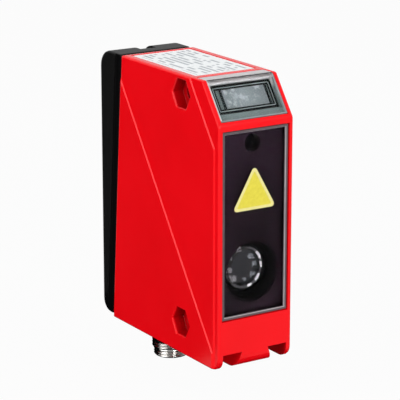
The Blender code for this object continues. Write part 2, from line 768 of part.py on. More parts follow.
def window_cutters():
    """The recess for the pane, and the opening inside its ledge."""
    recess = block(
        "window_recess",
        (-WINDOW_HALF, -OVERSHOOT, WINDOW_BOTTOM),
        (WINDOW_HALF, WINDOW_RECESS, WINDOW_TOP),
    )
    inner = WINDOW_HALF - WINDOW_LEDGE_WIDTH
    opening = block(
        "window_opening",
        (-inner, WINDOW_RECESS - OVERSHOOT, WINDOW_BOTTOM + WINDOW_LEDGE_WIDTH),
        (inner, CAVITY_FRONT + OVERSHOOT, WINDOW_TOP - WINDOW_LEDGE_WIDTH),
    )
    return cutter("window_recess", recess), cutter("window_opening", opening)


def slant_place(down, sink):
    """Location of a point on the sloping face, in sensor coordinates."""
    depth, height = slant_point(down, sink)
    return (0.0, depth, height)


def slant_block(name, half_width, top, bottom, near, far):
    """A box lying in the slope, between two distances down it and two depths below it."""
    shape = block(name, (-half_width, top - bottom, near - far), (half_width, bottom - top, far - near))
    for corner in shape.vertices:
        corner.co.y /= 2
        corner.co.z /= 2
    return shape, slant_place((top + bottom) / 2, (near + far) / 2)


def display_cutters():
    """The folded recess for the clear cover, and the opening for the display."""
    recess = side_solid("display_recess", folded_outline(-OVERSHOOT, COVER_RECESS, 0.0), WINDOW_HALF)
    opening, place = slant_block(
        "display_opening",
        BEZEL_WIDTH / 2 + GAP,
        BEZEL_TOP - GAP,
        BEZEL_BOTTOM + GAP,
        COVER_RECESS - OVERSHOOT,
        SLANT_INNER + OVERSHOOT,
    )
    return (
        cutter("display_recess", recess, (0, 0, 0), ALONG_X),
        cutter("display_opening", opening, place, (SLANT_ANGLE, 0, 0)),
    )


def build_housing():
    """The red moulding: a side profile, its panels, and everything cut from it."""
    core = side_solid("housing", housing_outline(), HALF_WIDTH)
    housing = part("housing", core, RED, (0, 0, 0), ALONG_X)
    round_edges(housing, EDGE_RADIUS)
    join(
        housing,
        side_panel("middle_panel", middle_panel_outline(), MIDDLE_FACE),
        side_panel("raised_panel", raised_panel_outline(), RAISED_FACE),
    )
    cut(housing, cavity_cutter(), *dovetail_cutters(), *window_cutters(), *display_cutters())
    cut(housing, *nut_pocket_cutters())
    label = block(
        "label_recess",
        (-LABEL_WIDTH / 2, LABEL_FRONT, BODY_HEIGHT - LABEL_RECESS),
        (LABEL_WIDTH / 2, LABEL_REAR, BODY_HEIGHT + OVERSHOOT),
    )
    cut(housing, cutter("label_recess", label))
    for place, across, height in screw_places():
        near = SCREW_TIP - GAP
        radius = SCREW_RADIUS + GAP
        cut(housing, depth_bore(f"thread_{place}", radius, near, BODY_DEPTH, across, height, SMALL_STEPS))
    for side in (-1, 1):
        near = CAVITY_FRONT - CARRIER_SCREW_BITE - GAP
        across = side * CARRIER_SCREW_ACROSS
        radius = CARRIER_SCREW_RADIUS + GAP
        name = f"carrier_thread_{side}"
        far = CAVITY_FRONT + OVERSHOOT
        cut(housing, depth_bore(name, radius, near, far, across, CARRIER_SCREW_HEIGHT, SMALL_STEPS))
    bore = cylinder("connector_bore", NECK_RADIUS + GAP, FLOOR + 2 * OVERSHOOT, ROUND_STEPS)
    place = (0, CONNECTOR_DEPTH, SLOT_CEILING + FLOOR / 2)
    cut(housing, cutter("connector_bore", bore, place))
    return smooth(housing)


def cover_outline(inset_back, low, high, radius_cut, front):
    """Side view of the rear cover, open towards the housing."""
    back = BODY_DEPTH - inset_back
    low_radius = COVER_BOTTOM_RADIUS - radius_cut
    high_radius = COVER_TOP_RADIUS - radius_cut
    outline = [(front(low), low)]
    outline += arc((back - low_radius, low + low_radius), low_radius, 270, 360, 6)
    outline += arc((back - high_radius, high - high_radius), high_radius, 0, 90, 6)
    outline.append((front(high), high))
    return outline


def notch_outline():
    """Side view of the notch that wraps over the cover's top rear edge."""
    radius = COVER_TOP_RADIUS - NOTCH_SINK
    centre = (BODY_DEPTH - COVER_TOP_RADIUS, COVER_HIGH - COVER_TOP_RADIUS)
    outline = [(centre[0] - NOTCH_RUN, centre[1] + radius)]
    outline += arc(centre, radius, 90, 0, 6)
    outline += [
        (centre[0] + radius, centre[1] - NOTCH_RUN),
        (BODY_DEPTH + OVERSHOOT, centre[1] - NOTCH_RUN),
        (BODY_DEPTH + OVERSHOOT, COVER_HIGH + OVERSHOOT),
        (centre[0] - NOTCH_RUN, COVER_HIGH + OVERSHOOT),
    ]
    return outline


def build_rear_cover():
    """The black shell that closes the housing, with four screw pillars inside."""
    outline = cover_outline(0.0, COVER_LOW, COVER_HIGH, 0.0, lambda z: parting_depth(z) + SEAL_SPACE)
    cover = part("rear_cover", side_solid("rear_cover", outline, HALF_WIDTH), BLACK, (0, 0, 0), ALONG_X)
    round_edges(cover, COVER_SIDE_RADIUS, 3)

    lip = [
        (parting_depth(-OVERSHOOT), -OVERSHOOT),
        (parting_depth(-OVERSHOOT) + SEAL_SPACE + COVER_LIP, -OVERSHOOT),
        (parting_depth(BODY_HEIGHT) + SEAL_SPACE + COVER_LIP, BODY_HEIGHT + OVERSHOOT),
        (parting_depth(BODY_HEIGHT), BODY_HEIGHT + OVERSHOOT),
    ]
    depth = COVER_LIP_STEP + OVERSHOOT
    band = cutter(
        "cover_lip",
        plate("cover_lip", lip, depth),
        (HALF_WIDTH - COVER_LIP_STEP + depth / 2, 0, 0),
        ALONG_X,
    )

    hollow_outline = cover_outline(
        COVER_WALL,
        CAVITY_FLOOR,
        COVER_HIGH - COVER_WALL,
        COVER_WALL,
        lambda z: parting_depth(z) - OVERSHOOT,
    )
    hollow_mesh = side_solid("cover_hollow", hollow_outline, HALF_WIDTH - COVER_WALL)
    hollow = cutter("cover_hollow", hollow_mesh, (0, 0, 0), ALONG_X)
    for place, across, height in screw_places():
        pillar = depth_bore(
            f"pillar_{place}",
            SCREW_BOSS_RADIUS,
            PARTING_TOP - 2 * OVERSHOOT,
            BODY_DEPTH,
            across,
            height,
            SMALL_STEPS,
        )
        cut(hollow, pillar)

    notch_mesh = side_solid("cover_notch", notch_outline(), NOTCH_WIDTH / 2)
    notch = cutter("cover_notch", notch_mesh, (0, 0, 0), ALONG_X)
    cut(cover, mirror_across(band), hollow, notch)
    for place, across, height in screw_places():
        hole = depth_bore(
            f"shank_hole_{place}",
            SCREW_RADIUS + GAP,
            PARTING_TOP - OVERSHOOT,
            BODY_DEPTH + OVERSHOOT,
            across,
            height,
            SMALL_STEPS,
        )
        head = depth_bore(
            f"head_hole_{place}",
            SCREW_HEAD_RADIUS + GAP,
            SCREW_SEAT,
            BODY_DEPTH + OVERSHOOT,
            across,
            height,
            SMALL_STEPS,
        )
        cut(cover, hole, head)
    return smooth(cover)


def build_cover_gasket():
    """A flat ring that lies in the inclined joint."""
    lean = math.atan2(BODY_HEIGHT, PARTING_TOP - PARTING_BOTTOM)
    stretch = 1 / math.sin(lean)
    inner_half = CAVITY_HALF + GAP
    inner_low = (CAVITY_FLOOR - GAP) * stretch
    inner_high = (CAVITY_TOP + GAP) * stretch
    hole = rectangle(-inner_half, inner_half, inner_low, inner_high)
    outer_half = inner_half + COVER_SEAL_WIDTH
    outer_low = inner_low - COVER_SEAL_WIDTH
    outer_high = inner_high + COVER_SEAL_WIDTH
    outline = round_rectangle(-outer_half, outer_half, outer_low, outer_high, COVER_SEAL_WIDTH)
    mesh = plate("cover_gasket", outline, COVER_SEAL_THICKNESS, (hole,))
    place = (0, PARTING_BOTTOM + SEAL_SPACE / 2, 0)
    return part("cover_gasket", mesh, RUBBER, place, (lean, 0, 0))


def socket_screw(name, radius, length, head_radius, head_height, socket_flats, socket_depth):
    """A cylinder-head screw along Z: its seat at zero, its shank below."""
    chamfer = radius * 0.4
    profile = [
        (0.0, head_height),
        (head_radius - chamfer, head_height),
        (head_radius, head_height - chamfer),
        (head_radius, 0.0),
        (radius, 0.0),
        (radius, -length + chamfer),
        (radius - chamfer, -length),
        (0.0, -length),
    ]
    blank = cutter(name, turned(name, profile, closed=False, steps=SMALL_STEPS))
    corner = socket_flats / 2 / math.cos(math.radians(30))
    hexagon = cylinder(name + "_socket", corner, 2 * socket_depth, 6)
    socket = cutter(name + "_socket", hexagon, (0, 0, head_height))
    cut(blank, socket)
    bpy.context.view_layer.update()
    mesh = tidy(evaluated_mesh(blank))
    bpy.data.objects.remove(socket)
    mesh.materials.append(STEEL)
    return mesh


def build_cover_screws():
    """Four equal screws, driven in from the back."""
    mesh = socket_screw(
        "cover_screw",
        SCREW_RADIUS,
        SCREW_LENGTH,
        SCREW_HEAD_RADIUS,
        SCREW_HEAD_HEIGHT,
        SCREW_SOCKET_FLATS,
        SCREW_SOCKET_DEPTH,
    )
    turn = (math.radians(-90), 0, 0)
    for place, across, height in screw_places():
        screw = part(f"cover_screw_{place}", mesh, STEEL, (across, SCREW_SEAT + GAP, height), turn)
        smooth(screw)


def build_window():
    """Grey frame, clear pane, and a dark mask with two holes."""
    outline = rectangle(-PANE_HALF, PANE_HALF, PANE_BOTTOM, PANE_TOP)
    inner = PANE_HALF - FRAME_SIDE_WIDTH
    hole = rectangle(-inner, inner, PANE_BOTTOM + FRAME_BOTTOM_WIDTH, PANE_TOP - FRAME_TOP_WIDTH)
    front_solid("window_frame", outline, FRAME_SETBACK, FRAME_SETBACK + FRAME_THICKNESS, GREY, (hole,))
    front_solid("front_window", outline, PANE_SETBACK, PANE_BACK, CLEAR)
    holes = (
        arc((0, RECEIVER_HEIGHT), TUBE_BORE + APERTURE_MARGIN, 0, 360, FINE_STEPS)[:-1],
        arc((0, EMITTER_HEIGHT), EMITTER_APERTURE, 0, 360, ROUND_STEPS)[:-1],
    )
    front_solid("aperture_mask", outline, MASK_FRONT, MASK_BACK, PRINT, holes)


def build_sticker():
    """A plain yellow triangle with round corners, flat on the pane."""
    low = STICKER_BASE + STICKER_CORNER
    apex = STICKER_BASE + STICKER_HEIGHT - STICKER_CORNER
    corner_across = STICKER_WIDTH / 2 - STICKER_CORNER
    side_angle = math.degrees(math.atan2(apex - low, corner_across))
    outline = arc((-corner_across, low), STICKER_CORNER, 90 + side_angle, 270, 4)
    outline += arc((corner_across, low), STICKER_CORNER, 270, 450 - side_angle, 4)
    outline += arc((0, apex), STICKER_CORNER, 90 - side_angle, 90 + side_angle, 4)
    back = PANE_SETBACK - GAP
    front_solid("triangle_sticker", outline, back - STICKER_THICKNESS, back, YELLOW)


def build_display():
    """Folded clear cover, grey surround, black bezel, display cell and its board."""
    cover_inner = COVER_SINK + COVER_THICKNESS
    cover = side_solid("display_cover", folded_outline(COVER_SINK, cover_inner, GAP), PANE_HALF)
    part("display_cover", cover, CLEAR, (0, 0, 0), ALONG_X)

    surround_outer = cover_inner + GAP
    surround_inner = surround_outer + SURROUND_THICKNESS
    frame = side_solid("display_surround", folded_outline(surround_outer, surround_inner, GAP), PANE_HALF)
    surround = part("display_surround", frame, GREY, (0, 0, 0), ALONG_X)
    opening, place = slant_block(
        "surround_opening",
        BEZEL_WIDTH / 2 + GAP,
        BEZEL_TOP - GAP,
        BEZEL_BOTTOM + GAP,
        cover_inner,
        COVER_RECESS + OVERSHOOT,
    )
    cut(surround, cutter("surround_opening", opening, place, (SLANT_ANGLE, 0, 0)))

    half_width = BEZEL_WIDTH / 2
    half_height = (BEZEL_BOTTOM - BEZEL_TOP) / 2
    middle = (BEZEL_BOTTOM + BEZEL_TOP) / 2
    border = BEZEL_BORDER
    hole = rectangle(border - half_width, half_width - border, border - half_height, half_height - border)
    outline = rectangle(-half_width, half_width, -half_height, half_height)
    ring = plate("display_bezel", outline, BEZEL_THICKNESS, (hole,))
    bezel_middle = surround_outer + BEZEL_THICKNESS / 2
    part("display_bezel", ring, BLACK, slant_place(middle, bezel_middle), (SLANT_ANGLE, 0, 0))

    cell_front = surround_outer + BEZEL_THICKNESS + GAP
    cell, place = slant_block(
        "display_panel",
        half_width - PANEL_MARGIN,
        BEZEL_TOP + PANEL_MARGIN,
        BEZEL_BOTTOM - PANEL_MARGIN,
        cell_front,
        cell_front + CELL_THICKNESS,
    )
    part("display_panel", cell, DISPLAY, place, (SLANT_ANGLE, 0, 0))

    board_front = max(cell_front + CELL_THICKNESS, SLANT_INNER) + GAP
    board, place = slant_block(
        "display_board",
        DISPLAY_BOARD_WIDTH / 2,
        DISPLAY_BOARD_TOP,
        DISPLAY_BOARD_BOTTOM,
        board_front,
        board_front + CONNECTOR_BOARD_THICKNESS,
    )
    part("display_board", board, BOARD, place, (SLANT_ANGLE, 0, 0))


def build_top_label():
    """A thin white plate in the recess of the top face."""
    half = LABEL_WIDTH / 2 - GAP
    outline = round_rectangle(-half, half, LABEL_FRONT + GAP, LABEL_REAR - GAP, LABEL_CORNER)
    mesh = plate("top_label", outline, LABEL_THICKNESS)
    height = BODY_HEIGHT - LABEL_RECESS + GAP + LABEL_THICKNESS / 2
    part("top_label", mesh, WHITE, (0, 0, height))


def build_carrier():
    """Plate behind the window, collar and light tunnel of the receiver, laser sleeve."""
    plate_low = (-BOARD_HALF, CARRIER_FRONT, CARRIER_BOTTOM)
    plate_high = (BOARD_HALF, CARRIER_BACK, CARRIER_TOP)
    carrier = part("optics_carrier", block("optics_carrier", plate_low, plate_high), BLACK)

    collar_low = (-COLLAR_HALF, CARRIER_BACK - OVERSHOOT, RECEIVER_HEIGHT - COLLAR_HALF)
    collar_high = (COLLAR_HALF, COLLAR_BACK, RECEIVER_HEIGHT + COLLAR_HALF)
    collar = cutter("receiver_collar", block("receiver_collar", collar_low, collar_high))

    mouth_half = CARRIER_BORE
    tunnel_front = (mouth_half, RECEIVER_HEIGHT - mouth_half, RECEIVER_HEIGHT + mouth_half)
    tunnel_back = (TUNNEL_END_WIDTH / 2, TUNNEL_END_LOW, TUNNEL_END_HIGH)
    outside = tapered_block("light_tunnel", tunnel_front, tunnel_back, COLLAR_BACK - OVERSHOOT, TUNNEL_END)
    tunnel = cutter("light_tunnel", outside)

    sleeve_radius = HOLDER_RADIUS + GAP + SLEEVE_WALL
    sleeve_near = CARRIER_BACK - OVERSHOOT
    sleeve = depth_bore("laser_sleeve", sleeve_radius, sleeve_near, SLEEVE_END, 0, EMITTER_HEIGHT)
    join(carrier, collar, tunnel, sleeve)

    inner_half = CARRIER_BORE * math.sqrt(0.5) - GAP
    hollow_front = (inner_half, RECEIVER_HEIGHT - inner_half, RECEIVER_HEIGHT + inner_half)
    hollow_back = (
        TUNNEL_END_WIDTH / 2 - TUNNEL_WALL,
        TUNNEL_END_LOW + TUNNEL_WALL,
        TUNNEL_END_HIGH - TUNNEL_WALL,
    )
    inside = tapered_block("tunnel_hollow", hollow_front, hollow_back, TUBE_BACK, TUNNEL_END + OVERSHOOT)
    bore_near = CARRIER_FRONT - OVERSHOOT
    bore_far = TUBE_BACK + GAP
    receiver = depth_bore("receiver_bore", CARRIER_BORE, bore_near, bore_far, 0, RECEIVER_HEIGHT, FINE_STEPS)
    bore_far = SLEEVE_END + OVERSHOOT
    laser = depth_bore("laser_bore", HOLDER_RADIUS + GAP, bore_near, bore_far, 0, EMITTER_HEIGHT)
    cut(carrier, cutter("tunnel_hollow", inside), receiver, laser)
    for side in (-1, 1):
        across = side * CARRIER_SCREW_ACROSS
        far = CARRIER_BACK + OVERSHOOT
        radius = CARRIER_SCREW_RADIUS + GAP
        name = f"carrier_hole_{side}"
        cut(carrier, depth_bore(name, radius, bore_near, far, across, CARRIER_SCREW_HEIGHT, SMALL_STEPS))
    smooth(carrier)

    mesh = socket_screw(
        "carrier_screw",
        CARRIER_SCREW_RADIUS,
        CARRIER_PLATE + 2 * GAP + CARRIER_SCREW_BITE,
        CARRIER_SCREW_HEAD,
        CARRIER_SCREW_HEAD_HEIGHT,
        CARRIER_SCREW_RADIUS * 1.6,
        CARRIER_SCREW_HEAD_HEIGHT / 2,
    )
    for side, name in ((-1, "left"), (1, "right")):
        place = (side * CARRIER_SCREW_ACROSS, CARRIER_BACK + GAP, CARRIER_SCREW_HEIGHT)
        smooth(part(f"carrier_screw_{name}", mesh, STEEL, place, (math.radians(-90), 0, 0)))


def lens_profile(radius, edge, front_bulge, back_bulge, steps=7):
    """Half section of a lens, its rim between zero and the edge thickness."""
    def bulge(rise, share):
        """Height of a shallow spherical cap at a share of its radius."""
        sphere = (radius ** 2 + rise ** 2) / (2 * rise)
        return math.sqrt(sphere ** 2 - (share * radius) ** 2) - (sphere - rise)

    shares = [index / steps for index in range(steps + 1)]
    front = [(share * radius, edge + bulge(front_bulge, share)) for share in shares]
    back = [(share * radius, -bulge(back_bulge, share)) for share in reversed(shares)]
    return front + back


def facing_front(name, mesh, finish, depth, height, steps_smooth=True):
    """Place a turned piece so that its own +Z points out of the window."""
    piece = part(name, mesh, finish, (0, depth, height), ALONG_Y)
    return smooth(piece) if steps_smooth else piece


def build_receiver():
    """Ribbed tube, lens and retaining ring, with the sensor that they feed."""
    pitch = RIBBED_LENGTH / RIB_COUNT
    bore = [(TUBE_BORE, 0.0)]
    for index in range(RIB_COUNT):
        start = index * pitch
        bore += [
            (TUBE_BORE, -(start + pitch * 0.4)),
            (TUBE_BORE + RIB_HEIGHT, -(start + pitch * 0.5)),
            (TUBE_BORE + RIB_HEIGHT, -(start + pitch * 0.9)),
            (TUBE_BORE, -(start + pitch)),
        ]
    shoulder = LENS_SHOULDER - TUBE_FRONT
    lens_stop = shoulder + 2 * GAP + LENS_EDGE
    bore += [
        (TUBE_BORE, -shoulder),
        (LENS_RADIUS + GAP, -shoulder),
        (LENS_RADIUS + GAP, -lens_stop),
        (LENS_RADIUS - LENS_LIP, -lens_stop),
        (LENS_RADIUS - LENS_LIP, -TUBE_LENGTH),
    ]
    profile = bore + [(TUBE_RADIUS, -TUBE_LENGTH), (TUBE_RADIUS, 0.0)]
    tube = turned("lens_tube", profile, steps=FINE_STEPS)
    facing_front("lens_tube", tube, BLACK, TUBE_FRONT, RECEIVER_HEIGHT)

    ring_outer = TUBE_BORE - GAP
    ring = turned(
        "lens_retainer",
        [
            (ring_outer - RETAINER_WIDTH, -RETAINER_THICKNESS),
            (ring_outer, -RETAINER_THICKNESS),
            (ring_outer, 0.0),
            (ring_outer - RETAINER_WIDTH + RETAINER_THICKNESS, 0.0),
        ],
        steps=FINE_STEPS,
    )
    facing_front("lens_retainer", ring, BLACK, RETAINER_FRONT, RECEIVER_HEIGHT)

    profile = lens_profile(LENS_RADIUS, LENS_EDGE, LENS_FRONT_BULGE, LENS_REAR_BULGE)
    lens = turned("receiver_lens", profile, closed=False)
    facing_front("receiver_lens", lens, GLASS, LENS_FRONT + LENS_EDGE, RECEIVER_HEIGHT)

    middle = (TUNNEL_END_LOW + TUNNEL_END_HIGH) / 2
    chip_back = SENSOR_BOARD_FRONT - GAP
    chip = block(
        "image_sensor",
        (-SENSOR_WIDTH / 2, chip_back - SENSOR_THICKNESS, middle - SENSOR_HEIGHT / 2),
        (SENSOR_WIDTH / 2, chip_back, middle + SENSOR_HEIGHT / 2),
    )
    part("image_sensor", chip, CHIP)
    board = block(
        "sensor_board",
        (-BOARD_HALF, SENSOR_BOARD_FRONT, SENSOR_BOARD_LOW),
        (BOARD_HALF, SENSOR_BOARD_FRONT + BOARD_THICKNESS, SENSOR_BOARD_HIGH),
    )
    part("sensor_board", board, BOARD)


def build_laser():
    """Turned holder with its collimator lens, diode and small round board."""
    seat = COLLIMATOR_FRONT + COLLIMATOR_EDGE + COLLIMATOR_BULGE + GAP
    diode_seat = DIODE_FRONT - GAP
    front = TUBE_FRONT
    steps = [
        (EMITTER_APERTURE, front),
        (EMITTER_APERTURE, front + HOLDER_LIP),
        (COLLIMATOR_RADIUS + GAP, front + HOLDER_LIP),
        (COLLIMATOR_RADIUS + GAP, seat),
        (BEAM_RADIUS, seat),
        (BEAM_RADIUS, diode_seat),
        (DIODE_FLANGE + GAP, diode_seat),
        (DIODE_FLANGE + GAP, HOLDER_END),
        (HOLDER_RADIUS, HOLDER_END),
        (HOLDER_RADIUS, CARRIER_FRONT),
        (NOSE_RADIUS, CARRIER_FRONT),
        (NOSE_RADIUS, front),
    ]
    holder = turned("laser_holder", [(radius, front - depth) for radius, depth in steps])
    facing_front("laser_holder", holder, BRASS, front, EMITTER_HEIGHT)

    profile = lens_profile(COLLIMATOR_RADIUS, COLLIMATOR_EDGE, COLLIMATOR_BULGE, COLLIMATOR_BULGE, 3)
    lens = turned("collimator_lens", profile, closed=False, steps=SMALL_STEPS)
    facing_front("collimator_lens", lens, GLASS, COLLIMATOR_FRONT + COLLIMATOR_EDGE, EMITTER_HEIGHT)

    flange_front = DIODE_FRONT + DIODE_CAN_LENGTH
    flange_back = flange_front + DIODE_FLANGE_THICKNESS
    can = [
        (0.0, 0.0),
        (DIODE_CAN, 0.0),
        (DIODE_CAN, -DIODE_CAN_LENGTH),
        (DIODE_FLANGE, -DIODE_CAN_LENGTH),
        (DIODE_FLANGE, DIODE_FRONT - flange_back),
        (0.0, DIODE_FRONT - flange_back),
    ]
    diode_mesh = turned("laser_diode", can, closed=False, steps=SMALL_STEPS)
    diode = facing_front("laser_diode", diode_mesh, STEEL, DIODE_FRONT, EMITTER_HEIGHT)
    for index in range(DIODE_PIN_COUNT):
        angle = 2 * math.pi * index / DIODE_PIN_COUNT
        pin = depth_bore(
            f"diode_pin_{index + 1}",
            DIODE_PIN_RADIUS,
            flange_back - DIODE_FLANGE_THICKNESS / 2,
            HOLDER_END,
            DIODE_PIN_CIRCLE * math.cos(angle),
            EMITTER_HEIGHT + DIODE_PIN_CIRCLE * math.sin(angle),
            8,
        )
        join(diode, pin)

    board = cylinder("laser_board", LASER_BOARD_RADIUS, BOARD_THICKNESS)
    depth = HOLDER_END + GAP + BOARD_THICKNESS / 2
    smooth(part("laser_board", board, BOARD, (0, depth, EMITTER_HEIGHT), ALONG_Y))


def build_main_board():
    """Upright board behind the optics, with its processor."""
    back = MAIN_BOARD_DEPTH + BOARD_THICKNESS
    board = block(
        "main_board",
        (-BOARD_HALF, MAIN_BOARD_DEPTH, MAIN_BOARD_LOW),
        (BOARD_HALF, back, MAIN_BOARD_HIGH),
    )
    part("main_board", board, BOARD)
    half = PROCESSOR_SIZE / 2
    chip = block(
        "processor_chip",
        (-half, back + GAP, PROCESSOR_HEIGHT - half),
        (half, back + GAP + PROCESSOR_THICKNESS, PROCESSOR_HEIGHT + half),
    )
    part("processor_chip", chip, CHIP)


def contact_places():
    """The contacts seen from below: a square of four and one in the middle."""
    ring = CONTACT_COUNT - 1
    angles = [2 * math.pi * (index + 0.5) / ring for index in range(ring)]
    square = [(CONTACT_CIRCLE * math.cos(angle), CONTACT_CIRCLE * math.sin(angle)) for angle in angles]
    return square + [(0.0, 0.0)]


def build_connector():
    """Threaded shell with seal and nut, contact carrier, pins and round board."""
    axis = (0, CONNECTOR_DEPTH, 0)
    collar_top = SLOT_CEILING - 2 * GAP - SEAL_THICKNESS
    shell_profile = [
        (NECK_RADIUS, NECK_TOP),
        (NECK_RADIUS, collar_top),
        (COLLAR_RADIUS, collar_top),
        (COLLAR_RADIUS, COLLAR_END),
        (THREAD_RADIUS, COLLAR_END),
        (THREAD_RADIUS, CONNECTOR_END + THREAD_CHAMFER),
        (THREAD_RADIUS - THREAD_CHAMFER, CONNECTOR_END),
        (SHELL_BORE, CONNECTOR_END),
        (SHELL_BORE, NECK_TOP),
    ]
    shell = part("connector_shell", turned("connector_shell", shell_profile), NICKEL, axis)
    smooth(shell)

    seal_low = collar_top + GAP
    seal_profile = [
        (NECK_RADIUS + GAP, seal_low),
        (SEAL_RADIUS, seal_low),
        (SEAL_RADIUS, seal_low + SEAL_THICKNESS),
        (NECK_RADIUS + GAP, seal_low + SEAL_THICKNESS),
    ]
    smooth(part("connector_seal", turned("connector_seal", seal_profile), RUBBER, axis))

    nut_low = CAVITY_FLOOR + GAP
    nut_corner = CONNECTOR_NUT_FLATS / 2 / math.cos(math.radians(30))
    nut_mesh = cylinder("connector_nut", nut_corner, NUT_THICKNESS, 6)
    nut = part("connector_nut", nut_mesh, NICKEL, (0, CONNECTOR_DEPTH, nut_low + NUT_THICKNESS / 2))
    thread = cylinder("nut_thread", NECK_RADIUS + GAP, NUT_THICKNESS + 2 * OVERSHOOT)
    cut(nut, cutter("nut_thread", thread, (0, CONNECTOR_DEPTH, nut_low + NUT_THICKNESS / 2)))
    smooth(nut)

    face_height = NECK_TOP + GAP - CARRIER_FACE
    middle = (0, CONNECTOR_DEPTH, CARRIER_FACE + face_height / 2)
    insert = cylinder("contact_carrier", SHELL_BORE - GAP, face_height)
    carrier = part("contact_carrier", insert, BLACK, middle)
    key_low = (-KEY_WIDTH / 2, SHELL_BORE - GAP - KEY_DEPTH, CARRIER_FACE - OVERSHOOT)
    key_high = (KEY_WIDTH / 2, SHELL_BORE + OVERSHOOT, NECK_TOP - OVERSHOOT)
    key = cutter("carrier_key", block("carrier_key", key_low, key_high), axis)
    cut(carrier, key)
    pin_length = CONTACT_TOP - CONTACT_TIP
    pin_height = (CONTACT_TOP + CONTACT_TIP) / 2
    pin_mesh = cylinder("contact_pin", CONTACT_RADIUS, pin_length, 12)
    for index, (across, along) in enumerate(contact_places(), start=1):
        place = (across, CONNECTOR_DEPTH + along, pin_height)
        hole = cylinder(f"contact_hole_{index}", CONTACT_RADIUS + GAP, pin_length, 12)
        cut(carrier, cutter(f"contact_hole_{index}", hole, place))
        smooth(part(f"contact_pin_{index}", pin_mesh, GOLD, place))
    smooth(carrier)

    board = cylinder("connector_board", CONNECTOR_BOARD_RADIUS, CONNECTOR_BOARD_THICKNESS)
    height = CONNECTOR_BOARD_LOW + CONNECTOR_BOARD_THICKNESS / 2
    smooth(part("connector_board", board, BOARD, (0, CONNECTOR_DEPTH, height)))


build_housing()
build_rear_cover()
build_cover_gasket()
build_cover_screws()
build_window()
build_sticker()
build_display()
build_top_label()
build_carrier()
build_receiver()
build_laser()
build_main_board()
build_connector()
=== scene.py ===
# %% [markdown]
# # A laser displacement sensor
#
# The sensor is a slim red housing with a dark window in front, a small display
# on its sloping shoulder, a black cover behind and a round plug underneath.
# The CAD model already fixes every size and place. This lesson dresses it:
# it gives each part a finish worked out from nodes, and builds finer surfaces
# where a machined or moulded detail shows, such as the thread of the plug.

# %% Load the fixed frame
import math
from functools import partial

import bmesh
import bpy
import numpy as np
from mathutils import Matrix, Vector


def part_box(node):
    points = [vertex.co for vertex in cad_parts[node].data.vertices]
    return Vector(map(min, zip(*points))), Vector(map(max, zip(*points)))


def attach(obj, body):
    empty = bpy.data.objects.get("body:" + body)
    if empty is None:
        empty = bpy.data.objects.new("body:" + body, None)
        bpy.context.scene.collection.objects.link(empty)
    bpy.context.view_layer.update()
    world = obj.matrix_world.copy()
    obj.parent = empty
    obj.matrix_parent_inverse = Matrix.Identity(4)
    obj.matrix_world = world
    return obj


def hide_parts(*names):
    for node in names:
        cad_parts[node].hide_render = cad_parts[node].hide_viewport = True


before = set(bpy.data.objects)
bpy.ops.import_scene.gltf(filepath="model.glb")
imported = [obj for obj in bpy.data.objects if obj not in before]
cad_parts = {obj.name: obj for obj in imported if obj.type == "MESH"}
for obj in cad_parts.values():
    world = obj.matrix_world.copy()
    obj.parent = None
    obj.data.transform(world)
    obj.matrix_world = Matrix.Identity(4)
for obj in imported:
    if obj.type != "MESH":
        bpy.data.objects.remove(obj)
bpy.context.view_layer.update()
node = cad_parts

# %% [markdown]
# The camera stands to the left of the front and a little above it, with a long
# lens, so that upright edges stay nearly parallel. A point on the sensor's axis
# is the aim, and the camera steps back from it along one direction.

# %% Place the camera
AZIMUTH = math.radians(-32.55)
ELEVATION = math.radians(15.32)
AIM = Vector((-0.00177, 0.008, 0.04832))
STEP_BACK = 0.6393
FOCAL_PIXELS, PICTURE_PIXELS, SENSOR_WIDTH = 1953.5, 400, 36.0

toward_camera = Vector((
    math.sin(AZIMUTH) * math.cos(ELEVATION),
    -math.cos(AZIMUTH) * math.cos(ELEVATION),
    math.sin(ELEVATION),
))
camera_data = bpy.data.cameras.new("studio_camera")
camera_data.sensor_width = SENSOR_WIDTH
camera_data.lens = FOCAL_PIXELS / PICTURE_PIXELS * SENSOR_WIDTH
camera_data.clip_start = 0.01
camera_data.clip_end = 20.0
camera = bpy.data.objects.new("studio_camera", camera_data)
camera.location = AIM + toward_camera * STEP_BACK
camera.rotation_euler = (-toward_camera).to_track_quat("-Z", "Y").to_euler()
bpy.context.scene.collection.objects.link(camera)
bpy.context.scene.camera = camera
bpy.context.scene.view_settings.view_transform = "Standard"
print("lens, mm:", round(camera_data.lens, 1))

# %% [markdown]
# A few small helpers keep the node trees short to read. The first starts a
# Principled material, whose plain numbers go straight on the shader's sockets.
# The second adds one node and links its inputs by name, and each of the others
# stands for one kind of node that comes back often.

# %% Helpers for materials
def finish_named(name, colour, roughness, **sockets):
    """A new Principled material; extra sockets are given by name with _ for a space."""
    made = bpy.data.materials.new(name)
    made.use_nodes = True
    shader = made.node_tree.nodes["Principled BSDF"]
    shader.inputs["Base Color"].default_value = (*colour, 1.0)
    shader.inputs["Roughness"].default_value = roughness
    for key, value in sockets.items():
        shader.inputs[key.replace("_", " ")].default_value = value
    return made, made.node_tree, shader


def add_node(tree, kind, inputs=None, **settings):
    """One node of a kind, with settings on the node and values or links on its inputs."""
    made = tree.nodes.new(kind)
    for key, value in settings.items():
        setattr(made, key, value)
    for key, value in (inputs or {}).items():
        if isinstance(value, bpy.types.NodeSocket):
            tree.links.new(value, made.inputs[key])
        else:
            made.inputs[key].default_value = value
    return made


def place_on_object(tree, scale=(1.0, 1.0, 1.0), shift=(0.0, 0.0, 0.0)):
    """Object coordinates in metres, through one Mapping node."""
    where = add_node(tree, "ShaderNodeTexCoord").outputs["Object"]
    mapping = add_node(tree, "ShaderNodeMapping", {
        "Vector": where, "Scale": scale, "Location": shift})
    return mapping.outputs["Vector"]


